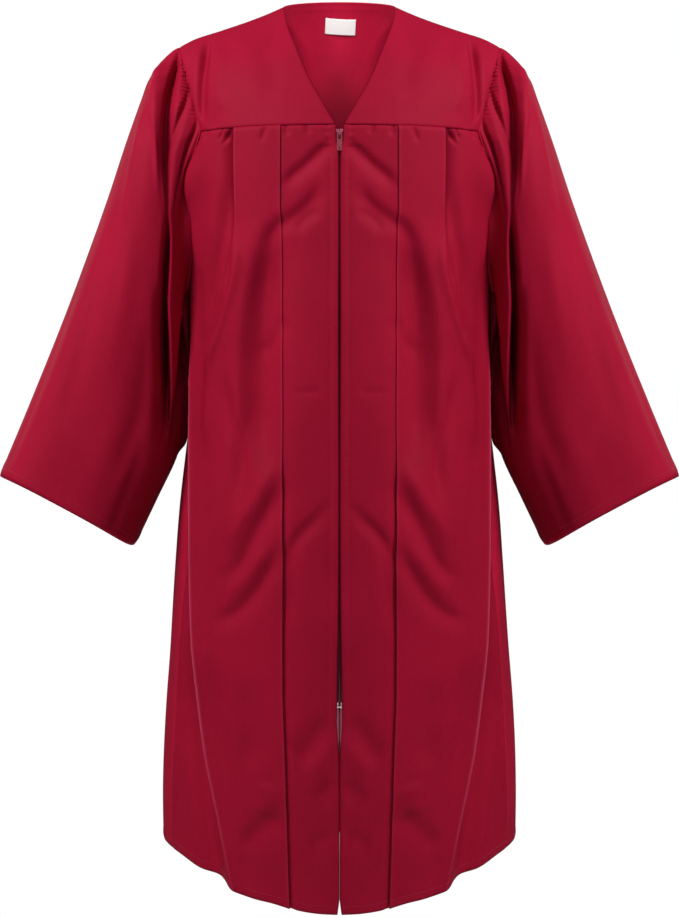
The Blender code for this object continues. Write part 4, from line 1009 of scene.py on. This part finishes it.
def beside_body(points, along):
    """Keep the sleeve just outside the body, against which its inner side rests."""
    wall, = between([SIDE_X], (points[..., 2] - LEVELS[0]) / TABLE_STEP,
                    (points[..., 1] - DEPTHS[0]) / TABLE_STEP)
    grown = smooth_step(along / 0.04)
    wall = wall + 2.0 * grown - 40 * (1 - smooth_step((-165 - points[..., 2]) / 12))
    softness = 0.05 + 1.2 * grown
    gap = (points[..., 0] - wall) / softness
    points[..., 0] = np.where(gap > 8, points[..., 0], wall + softness * np.logaddexp(0, np.minimum(gap, 30)))
    return points


def sleeve_surface(angle, along):
    soft = sum(folds(SLEEVE_FOLDS, angle + turn, along, SLEEVE_SCALE) for turn in (-360, 0, 360))
    soft *= smooth_step(along / 0.06)
    place = (np.mod(angle + 180, 360) - 180 + 104) / 180
    on_cap = np.clip(np.sin(math.pi * np.clip(place, 0, 1)), 0, 1) ** 0.3
    from_seam = np.linalg.norm(sleeve_points(angle, along) - sleeve_points(angle, 0 * along), axis=-1)
    from_cuff = (1 - along) * SLEEVE_LENGTH
    reach = 13 + 4 * np.sin(place * 29) + 3 * np.sin(place * 61 + 1)
    fine = drift(place * 300 + 40, 6.2, 0.3)
    soft += 2.6 * fine * on_cap * np.exp(-(from_seam / reach) ** 1.5) * smooth_step(from_seam / 3)
    slow = np.cos(2 * math.pi * 12 * place + 0.8 * np.sin(place * 17))
    soft += 1.2 * slow * on_cap * np.maximum(1 - along / 0.2, 0) ** 1.5 * smooth_step(along / 0.03)
    soft += 0.8 * ripple(angle * MM_PER_DEGREE, along * SLEEVE_LENGTH, 4.0) * smooth_step(from_seam / 60)
    soft += seam_roll(from_seam, 0.8) + seam_roll(from_cuff, 0.4)
    soft += turned_hem(from_cuff, 14)
    past_underarm = (np.mod(angle, 360) - UNDERARM_SEAM) * MM_PER_DEGREE
    soft += -0.8 * bell(past_underarm, 1.6) * smooth_step(from_seam / 20)
    soft *= along > 0
    points = sleeve_points(angle, along) + sleeve_outward(angle, along) * soft[..., None]
    back = -folds(SLEEVE_HOLLOWS, np.mod(angle, 360), along, SLEEVE_SCALE) * smooth_step(along / 0.05)
    low = sleeve_points(0 * angle + 180, along)
    room = low[..., 1] - 4 + 5 * np.maximum(points[..., 0] - low[..., 0] - 6, 0) - points[..., 1]
    points[..., 1] += np.where(back > 0.2, np.minimum(back, np.maximum(room, 0)), back)
    return beside_body(points, along)


angles = np.r_[np.linspace(-104, 76, 251), np.linspace(76, 256, 131)[1:]]
lengths = np.r_[-0.006, -0.003, np.linspace(0, 0.03, 5), np.linspace(0.03, 0.13, 34)[1:],
                np.linspace(0.13, 1, 84)[1:]]
angle, along = np.meshgrid(angles, lengths)
sleeve_cloth = sleeve_surface(angle, along)
sleeve_cloth[:, -1] = sleeve_cloth[:, 0]
sleeve_map = np.stack([angle * MM_PER_DEGREE, -along * SLEEVE_LENGTH], -1) * MM
for name, side in SIDES:
    piece = cloth_piece(f"sleeve_cloth_{name}", sleeve_cloth * (side, 1, 1), sleeve_map, CRIMSON, closed=True)
    dress(piece, "crimson_cloth", f"sleeve_{name}")

# %% [markdown]
# ## Finish: the zip's tape, teeth and metal
# The tape is woven polyester in a duller mauve red with a ribbed edge, the teeth are a nylon
# coil of a darker red, the slider and its tab are die cast and painted, and the small stop at
# the bottom is bright plated steel. The tape looks dull and ribbed, the teeth have a slight
# gloss, and the paint is smooth and a little worn. The stop is made only partly metallic, so
# that such a small piece still shows as bright dots beside the dark slit.


# %% Zip finishes
def zip_tape_weave():
    made, tree, shader = new_material("zip_tape_polyester_weave")
    place = add_node(tree, "ShaderNodeTexCoord")
    rib = add_node(tree, "ShaderNodeTexWave", {"bands_direction": "Z"}, Vector=(place, "Object"),
                   Scale=420.0, Distortion=0.4)
    tone = add_node(tree, "ShaderNodeMapRange", Value=(rib, "Fac"), n_3=0.72, n_4=1.08)
    colour = add_node(tree, "ShaderNodeHueSaturation", Color=linear("#BC5A74"), Value=(tone, "Result"))
    tree.links.new(colour.outputs["Color"], shader.inputs["Base Color"])
    bump = add_node(tree, "ShaderNodeBump", Strength=0.5, Distance=0.0003, Height=(rib, "Fac"))
    tree.links.new(bump.outputs["Normal"], shader.inputs["Normal"])
    shader.inputs["Roughness"].default_value = 0.72
    shader.inputs["Sheen Weight"].default_value = 0.4
    return made


def zip_teeth_nylon():
    made, tree, shader = new_material("zip_teeth_nylon")
    place = add_node(tree, "ShaderNodeTexCoord")
    noise = add_node(tree, "ShaderNodeTexNoise", Vector=(place, "Object"), Scale=300.0, Detail=2.0)
    tone = add_node(tree, "ShaderNodeMapRange", Value=(noise, "Fac"), n_3=0.8, n_4=1.15)
    colour = add_node(tree, "ShaderNodeHueSaturation", Color=linear("#5A1626"), Value=(tone, "Result"))
    tree.links.new(colour.outputs["Color"], shader.inputs["Base Color"])
    shader.inputs["Roughness"].default_value = 0.4
    shader.inputs["IOR"].default_value = 1.53
    return made


def painted_zip_metal():
    made, tree, shader = new_material("painted_zinc_die_casting")
    place = add_node(tree, "ShaderNodeTexCoord")
    orange_peel = add_node(tree, "ShaderNodeTexNoise", Vector=(place, "Object"), Scale=900.0, Detail=2.0)
    wear = add_node(tree, "ShaderNodeTexNoise", Vector=(place, "Object"), Scale=260.0, Detail=3.0)
    worn = add_node(tree, "ShaderNodeMapRange", Value=(wear, "Fac"), n_1=0.5, n_2=0.8, n_3=0.0, n_4=0.4)
    colour = add_node(tree, "ShaderNodeMix", {"data_type": "RGBA"}, Factor=(worn, "Result"),
                      n_6=linear("#7C1830"), n_7=linear("#B24A66"))
    tree.links.new(colour.outputs[2], shader.inputs["Base Color"])
    bump = add_node(tree, "ShaderNodeBump", Strength=0.12, Distance=0.0002, Height=(orange_peel, "Fac"))
    tree.links.new(bump.outputs["Normal"], shader.inputs["Normal"])
    shader.inputs["Metallic"].default_value = 0.25
    shader.inputs["Roughness"].default_value = 0.3
    shader.inputs["Coat Weight"].default_value = 0.25
    return made


def bright_steel():
    made, tree, shader = new_material("plated_steel_stop")
    place = add_node(tree, "ShaderNodeTexCoord")
    noise = add_node(tree, "ShaderNodeTexNoise", Vector=(place, "Object"), Scale=700.0, Detail=3.0)
    rough = add_node(tree, "ShaderNodeMapRange", Value=(noise, "Fac"), n_3=0.16, n_4=0.30)
    tree.links.new(rough.outputs["Result"], shader.inputs["Roughness"])
    shader.inputs["Base Color"].default_value = linear("#F4F0EE")
    shader.inputs["Metallic"].default_value = 0.35
    return made


def label_satin():
    made, tree, shader = new_material("woven_satin_label")
    place = add_node(tree, "ShaderNodeUVMap", {"uv_map": "cloth"})
    warp = add_node(tree, "ShaderNodeTexWave", {"bands_direction": "X"}, Vector=(place, "UV"),
                    Scale=700.0, Distortion=0.3)
    tone = add_node(tree, "ShaderNodeMapRange", Value=(warp, "Fac"), n_3=0.93, n_4=1.0)
    colour = add_node(tree, "ShaderNodeHueSaturation", Color=linear("#F6F3F2"), Value=(tone, "Result"))
    tree.links.new(colour.outputs["Color"], shader.inputs["Base Color"])
    bump = add_node(tree, "ShaderNodeBump", Strength=0.15, Distance=0.0002, Height=(warp, "Fac"))
    tree.links.new(bump.outputs["Normal"], shader.inputs["Normal"])
    shader.inputs["Roughness"].default_value = 0.45
    return made


TAPE, TEETH, PAINTED = zip_tape_weave(), zip_teeth_nylon(), painted_zip_metal()
STEEL, LABEL = bright_steel(), label_satin()
print("zip finishes", TAPE.name, TEETH.name, PAINTED.name, STEEL.name, LABEL.name)

# %% [markdown]
# ## Zip tapes and teeth
# Two woven tapes lie behind the slit, and a coil of nylon teeth joins them. The teeth are
# short rounded bars, one from each side in turn, all joined into one mesh because there are
# hundreds of them.


# %% Tapes
STRIP_ROWS = 160


def centre_line(height, depth=0.0):
    """Points on the zip's line, so far behind the front's middle surface."""
    point = body_points(height, 0.0)
    point[..., 1] += depth
    return point


def strip(name, first, last, top, bottom, depth, wall, finish):
    """A narrow woven strip that follows the front's centre line."""
    x, height = np.meshgrid(np.linspace(first, last, 7), np.linspace(top, bottom, STRIP_ROWS + 1))
    points = centre_line(height, depth)
    points[..., 0] = x
    edge_curl = (2 * (x - first) / (last - first) - 1) ** 4
    points[..., 1] += 0.25 * edge_curl + 0.12 * np.sin(height / 7.0)
    return cloth_piece(name, points, np.stack([x, height], -1) * MM, finish, wall)


for name, side in SIDES:
    piece = strip(f"zip_tape_cloth_{name}", side * 0.5, side * 14.0, -164, -948, 3.6, 0.6, TAPE)
    dress(piece, "zip_tape", f"zip_tape_{name}")


# %% Teeth
def zip_frame(height):
    """The zip's own axes at a height: X across, Z up along the cloth, -Y out from it."""
    upper, lower = Vector(centre_line(height + 6)), Vector(centre_line(height - 6))
    up = (upper - lower).normalized()
    back = up.cross(Vector((1, 0, 0))).normalized()
    turn = Matrix((Vector((1, 0, 0)), back, up)).transposed().to_4x4()
    return Matrix.Translation(Vector(centre_line(height)) * MM) @ turn


def finished_mesh(name, bm, finish):
    """Close a bmesh into an object at the origin."""
    bmesh.ops.recalc_face_normals(bm, faces=bm.faces)
    mesh = bpy.data.meshes.new(name)
    bm.to_mesh(mesh)
    bm.free()
    mesh.materials.append(finish)
    mesh.shade_smooth()
    piece = bpy.data.objects.new(name, mesh)
    bpy.context.scene.collection.objects.link(piece)
    print(name, "faces", len(mesh.polygons))
    return piece


def teeth_along(name, top, bottom, pitch, finish):
    bm = bmesh.new()
    count = int((top - bottom) / pitch)
    for k in range(count):
        height = top - (k + 0.5) * pitch
        side = 1 if k % 2 else -1
        place = (zip_frame(height) @ Matrix.Translation((side * 0.5 * MM, 2.0 * MM, 0))
                 @ Matrix.Rotation(math.pi / 2, 4, "Y"))
        bmesh.ops.create_cone(bm, cap_ends=True, segments=8, radius1=0.52 * MM, radius2=0.52 * MM,
                              depth=4.0 * MM, matrix=place)
    return finished_mesh(name, bm, finish)


teeth = teeth_along("zip_teeth_coil", -179.0, -873.5, 1.3, TEETH)
dress(teeth, "zip_teeth", "zip_chain")

# %% [markdown]
# ## Slider, pull tab and stop
# The slider is a small painted casting, narrower at its foot, with a bridge that holds the
# tab. The stop is a pair of bright staples pressed over the tape, each with two prongs.


# %% Slider and stop
def rounded_block(bm, size, bevel, matrix, taper=1.0):
    """Add a box with rounded edges, its foot narrowed by taper."""
    made = bmesh.ops.create_cube(bm, size=1.0)
    verts = made["verts"]
    for vert in verts:
        if vert.co.z < 0:
            vert.co.x *= taper
    bmesh.ops.scale(bm, vec=Vector(size), verts=verts)
    edges = list({e for v in verts for e in v.link_edges})
    out = bmesh.ops.bevel(bm, geom=verts + edges, offset=bevel, affect="EDGES", segments=3,
                          profile=0.5, material=-1)
    verts = list({v for v in out["verts"]} | {v for v in verts if v.is_valid})
    bmesh.ops.transform(bm, matrix=matrix, verts=verts)


def half_ring(bm, radius, wire, matrix):
    """Sweep a small circle round half a turn, with closed ends."""
    ring = bmesh.ops.create_circle(bm, cap_ends=True, segments=10, radius=wire)
    verts = ring["verts"]
    bmesh.ops.rotate(bm, verts=verts, cent=(0, 0, 0), matrix=Matrix.Rotation(math.pi / 2, 3, "X"))
    bmesh.ops.translate(bm, verts=verts, vec=(radius, 0, 0))
    geom = list({f for v in verts for f in v.link_faces}) + verts
    geom += list({e for v in verts for e in v.link_edges})
    bmesh.ops.spin(bm, geom=geom, cent=(0, 0, 0), axis=(0, 0, 1), angle=math.pi, steps=16)
    linked = set(verts)
    grow = list(verts)
    while grow:
        vert = grow.pop()
        for e in vert.link_edges:
            other = e.other_vert(vert)
            if other not in linked:
                linked.add(other)
                grow.append(other)
    bmesh.ops.transform(bm, matrix=matrix, verts=list(linked))


SLIDER_HEIGHT = -171.8
slider_frame = zip_frame(SLIDER_HEIGHT)
bm = bmesh.new()
for depth, thick in ((-0.75, 1.5), (1.95, 1.5)):
    rounded_block(bm, (6.6 * MM, thick * MM, 11.7 * MM), 0.5 * MM,
                  slider_frame @ Matrix.Translation((0, depth * MM, 0)), 0.72)
rounded_block(bm, (1.6 * MM, 2.4 * MM, 5.0 * MM), 0.3 * MM,
              slider_frame @ Matrix.Translation((0, 0.6 * MM, 3.2 * MM)))
half_ring(bm, 3.3 * MM, 0.6 * MM, slider_frame @ Matrix.Translation((0, -1.5 * MM, 0))
          @ Matrix(((0, 0, 1, 0), (0, -1, 0, 0), (1, 0, 0, 0), (0, 0, 0, 1))))
slider = finished_mesh("zip_slider_casting", bm, PAINTED)
dress(slider, "painted_metal", "zip_slider")

stop_frame = zip_frame(-878.6)
bm = bmesh.new()
for side in (-1, 1):
    for rise in (-2.2, 2.2):
        place = stop_frame @ Matrix.Translation((side * 2.35 * MM, 1.2 * MM, rise * MM))
        rounded_block(bm, (1.7 * MM, 2.2 * MM, 2.4 * MM), 0.45 * MM, place)
    rounded_block(bm, (1.1 * MM, 1.0 * MM, 6.4 * MM), 0.3 * MM,
                  stop_frame @ Matrix.Translation((side * 2.3 * MM, 1.7 * MM, 0)))
rounded_block(bm, (5.4 * MM, 0.9 * MM, 1.4 * MM), 0.3 * MM,
              stop_frame @ Matrix.Translation((0, 2.2 * MM, -2.2 * MM)))
stop = finished_mesh("zip_bottom_stop_prongs", bm, STEEL)
dress(stop, "bright_metal", "zip_bottom_stop")

# %% [markdown]
# The pull tab is the one piece that moves. Its solid already has the right shape, a flat tab
# with a window for the bridge and a small hole, so it keeps its solid and only gets the
# painted finish.

# %% Pull tab finish
tab = frame["nodes"]["zip_pull_tab"]
tab.data.materials.clear()
tab.data.materials.append(PAINTED)

# %% [markdown]
# ## Size label
# A small white woven label is sewn inside the back neck, tilted by three degrees. It is left
# bare. It follows the yoke's own curve, just in front of it, with its side edges folded under.

# %% Size label
LABEL_TILT = math.radians(3)
LABEL_TOP, LABEL_LOW = (float(back_yoke_points(np.zeros(1), np.full(1, d), 0.0)[0, 2]) for d in (0.0, 1.0))


def on_back_yoke(x, z, stand):
    """Points on the inside of the back yoke at these x and z, standing off it."""
    span = NECK_HALF_WIDTH / NECK_SHARE
    down, share = (LABEL_TOP - z) / (LABEL_TOP - LABEL_LOW), x / span
    for _ in range(8):
        point = back_yoke_points(share, down, 0.0)
        share = share + (x - point[..., 0]) / span
        down = down - (z - point[..., 2]) / (LABEL_TOP - LABEL_LOW)
    beside = back_yoke_points(share + 0.02, down, 0.0) - back_yoke_points(share - 0.02, down, 0.0)
    below = back_yoke_points(share, down + 0.02, 0.0) - back_yoke_points(share, down - 0.02, 0.0)
    inward = np.cross(beside, below)
    inward /= np.linalg.norm(inward, axis=-1, keepdims=True)
    inward = np.where(inward[..., 1:2] > 0, -inward, inward)
    return back_yoke_points(share, down, 0.0) + inward * stand[..., None]


LABEL_HALF_WIDTH, LABEL_HALF_HEIGHT = 20.5, 10
a, b = np.meshgrid(np.linspace(-LABEL_HALF_WIDTH, LABEL_HALF_WIDTH, 43),
                   np.linspace(LABEL_HALF_HEIGHT, -LABEL_HALF_HEIGHT, 23))
stand = 1.6 + 0.35 * np.sin(a / 9.0 + 0.6) + 0.25 * np.cos(b / 6.0)
stand = stand - 0.5 * bell(LABEL_HALF_WIDTH - np.abs(a), 1.2)
cosine, sine = math.cos(LABEL_TILT), math.sin(LABEL_TILT)
label_points = on_back_yoke(1.3 + a * cosine + b * sine, -14.2 - a * sine + b * cosine, stand)
label = cloth_piece("size_label_cloth", label_points, np.stack([a, b], -1) * MM, LABEL, 0.5)
dress(label, "label_cloth", "size_label")

# %% [markdown]
# ## Stitches
# The zip is held by a row of topstitching on each side, and the hem and the cuffs by one row
# each. A stitch is 2.3 mm of thread that sits in the cloth, so each is a small stretched ball,
# and each row of them is one mesh in crimson thread, matt and a little darker than the cloth.


# %% Thread finish
def crimson_thread():
    made, tree, shader = new_material("crimson_polyester_thread")
    place = add_node(tree, "ShaderNodeTexCoord")
    twist = add_node(tree, "ShaderNodeTexNoise", Vector=(place, "Object"), Scale=1500.0, Detail=1.0)
    tone = add_node(tree, "ShaderNodeMapRange", Value=(twist, "Fac"), n_3=0.8, n_4=1.15)
    colour = add_node(tree, "ShaderNodeHueSaturation", Color=linear("#9E1634"), Value=(tone, "Result"))
    tree.links.new(colour.outputs["Color"], shader.inputs["Base Color"])
    shader.inputs["Roughness"].default_value = 0.5
    shader.inputs["Sheen Weight"].default_value = 0.3
    return made


THREAD = crimson_thread()


# %% Rows of stitches
STITCH_PITCH, STITCH_LENGTH, STITCH_WIDTH = 3.1, 2.3, 0.5


def stitch_row(name, line, outward):
    """Stitches along a line of points in millimetres, each pressed into the cloth."""
    lengths = np.r_[0, np.cumsum(np.linalg.norm(np.diff(line, axis=0), axis=1))]
    bm = bmesh.new()
    for start in np.arange(0.4, lengths[-1] - STITCH_LENGTH, STITCH_PITCH):
        ends = [Vector([float(np.interp(start + d, lengths, line[:, k])) for k in range(3)])
                for d in (0, STITCH_LENGTH)]
        out = Vector([float(np.interp(start, lengths, outward[:, k])) for k in range(3)]).normalized()
        run = (ends[1] - ends[0]).normalized()
        beside = run.cross(out).normalized()
        out = beside.cross(run)
        middle = (ends[0] + ends[1]) / 2 + out * 0.1
        turn = Matrix((run * STITCH_LENGTH / 2, beside * STITCH_WIDTH / 2, out * STITCH_WIDTH / 2))
        place = Matrix.Translation(middle * MM) @ turn.transposed().to_4x4()
        bmesh.ops.create_icosphere(bm, subdivisions=1, radius=MM, matrix=place)
    return finished_mesh(name, bm, THREAD)


def front_line(heights, around_from_zip, lift):
    around = edge("zip_gap", heights) + around_from_zip
    soft = FOLD_GAIN * folds(FRONT_FOLDS, around, heights) + ripple(around, heights)
    soft += 0.6 * drift(-heights, 10.0, 0.4) - 0.55
    return body_points(heights, around, soft + lift)


heights = np.linspace(-161, -884, 400)
zip_line = front_line(heights, TOPSTITCH, WALL / 2)
out_line = front_line(heights, TOPSTITCH, WALL / 2 + 1.0) - zip_line
for name, side in SIDES:
    row = stitch_row(f"zip_topstitch_{name}", zip_line * (side, 1, 1), out_line * (side, 1, 1))
    dress(row, "crimson_cloth")

# %% Hem and cuff stitches
def way_in(points, distance):
    """A line a given way in from the last row of a grid."""
    steps = np.linalg.norm(np.diff(points, axis=0), axis=-1)
    lengths, order = np.cumsum(steps[::-1], axis=0), points[::-1]
    return np.stack([[np.interp(distance, np.r_[0, lengths[:, c]], order[:, c, k]) for k in range(3)]
                     for c in range(points.shape[1])])


def stitch_line(points, distance):
    """The line of a row of stitches near a hem, with the way out of the cloth."""
    line = way_in(points, distance)
    out = np.cross(np.gradient(line, axis=0), way_in(points, distance - 3) - line)
    out /= np.linalg.norm(out, axis=-1, keepdims=True) + 1e-12
    return line, out


CUFF_STITCH = 12.0
FRONT_PARTS = (("centre", front_surface[:, 1:31]), ("outer", front_surface[:, 45:]))
for name, side in SIDES:
    for part, surface in FRONT_PARTS:
        line, out = stitch_line(surface, HEM_STITCH)
        out *= np.where(out[:, 1:2] > 0, -1, 1)
        line, to_side = line + out * WALL / 2, (side, 1, 1)
        dress(stitch_row(f"hem_stitch_{part}_{name}", line * to_side, out * to_side), "crimson_cloth")
    line, out = stitch_line(sleeve_cloth, CUFF_STITCH)
    middle = line.mean(0)
    out *= np.where(np.sum(out * (line - middle), -1, keepdims=True) < 0, -1, 1)
    line, to_side = line + out * WALL / 2, (side, 1, 1)
    dress(stitch_row(f"cuff_stitch_{name}", line * to_side, out * to_side), "crimson_cloth")
line, out = stitch_line(back_surface, HEM_STITCH)
out *= np.where(out[:, 1:2] < 0, -1, 1)
dress(stitch_row("hem_stitch_back", line + out * WALL / 2, out), "crimson_cloth")

# %% [markdown]
# ## Sizes of the cut sheets
# Each panel, yoke and sleeve is a sheet of cloth that was cut flat before it was sewn. The
# cut isn't a rectangle, so its area is summed over the sheet's middle surface, and each piece
# prints that area as it is made.

# %% [markdown]
# ## Studio
# The gown stands before plain white: a pale floor, a white world and soft lights. The picture
# is lit as two halves, each from its own side, so each key light reaches only the pieces of
# its own half. That leaves the walls of the folds that face the zip dark. Small lamps lift
# the cuffs and the inside of the back, and a dim one above the camera fills the rest.


# %% Floor, world and lights
def studio_floor():
    bm = bmesh.new()
    bmesh.ops.create_circle(bm, cap_ends=True, segments=96, radius=1.5)
    bmesh.ops.translate(bm, verts=bm.verts, vec=(0, 0, -1.72))
    made, tree, shader = new_material("pale_studio_floor")
    shader.inputs["Base Color"].default_value = linear("#E2E2E2")
    shader.inputs["Roughness"].default_value = 0.9
    mesh = bpy.data.meshes.new("studio_floor")
    bm.to_mesh(mesh)
    bm.free()
    mesh.materials.append(made)
    floor = bpy.data.objects.new("studio_floor", mesh)
    bpy.context.scene.collection.objects.link(floor)


def studio_world():
    world = bpy.data.worlds.new("white_studio")
    bpy.context.scene.world = world
    world.use_nodes = True
    tree = world.node_tree
    tree.nodes.clear()
    path = add_node(tree, "ShaderNodeLightPath")
    seen = add_node(tree, "ShaderNodeBackground", Color=(1.0, 1.0, 1.0, 1.0), Strength=1.0)
    light = add_node(tree, "ShaderNodeBackground", Color=(1.0, 1.0, 1.0, 1.0), Strength=0.05)
    mix = add_node(tree, "ShaderNodeMixShader", n_0=(path, "Is Camera Ray"), n_1=(light, "Background"),
                   n_2=(seen, "Background"))
    add_node(tree, "ShaderNodeOutputWorld", Surface=(mix, "Shader"))


def soft_light(name, place, aim, size, power):
    data = bpy.data.lights.new(name, "AREA")
    data.shape = "RECTANGLE"
    data.size, data.size_y = size
    data.energy = power
    lamp = bpy.data.objects.new(name, data)
    bpy.context.scene.collection.objects.link(lamp)
    lamp.location = place
    lamp.rotation_euler = (Vector(aim) - Vector(place)).to_track_quat("-Z", "Y").to_euler()
    return lamp


def lit_group(name, wanted):
    """A collection of the pieces that a lamp may light."""
    group = bpy.data.collections.new(name)
    for piece in bpy.context.scene.objects:
        if piece.type == "MESH" and wanted(piece.name):
            group.objects.link(piece)
    return group


studio_floor()
studio_world()
for side, other, own in ((-1, "_left", "_right"), (1, "_right", "_left")):
    near_half = lit_group(f"near_half_{side}", lambda n: "zip_tape" in n or not n.endswith(other))
    key = soft_light(f"key_light_{side}", (side * 1.65, -1.8, 1.75), (side * 0.1, -0.1, -0.1),
                     (0.8, 0.9), 25)
    key.data.spread = math.radians(110)
    edge_light = soft_light(f"edge_light_{side}", (side * 2.3, -0.3, 0.5), (0, 0, -0.5),
                            (0.5, 1.6), 4.5)
    for lamp in (key, edge_light):
        lamp.light_linking.receiver_collection = near_half
    cuff_light = soft_light(f"cuff_light_{side}", (side * 2.0, -1.5, -1.3), (side * 0.38, 0, -0.5),
                            (0.8, 0.8), 7)
    cuff_light.light_linking.receiver_collection = lit_group(
        f"sleeve_{side}", lambda n: n.startswith("sleeve") and n.endswith(own))
    soft_light(f"rim_light_{side}", (side * 1.7, 1.6, 0.4), (0, 0, -0.5), (0.8, 1.6), 6)
soft_light("front_light", (0, -3.2, 1.2), (0, 0, -0.1), (2.0, 1.2), 10)
soft_light("neck_light", (0, -1.3, 1.35), (0, 0.02, -0.08), (0.9, 0.5), 2.5)
inside_light = soft_light("inside_light", (0, -2.45, -0.2), (0, 0.05, -0.08), (0.4, 0.4), 18)
inside_light.light_linking.receiver_collection = lit_group(
    "back_inside", lambda n: n.startswith(("back_", "size_label")))
bpy.context.scene.view_settings.view_transform = "Standard"
bpy.context.scene.view_settings.look = "None"
print("lights", len(bpy.data.lights))
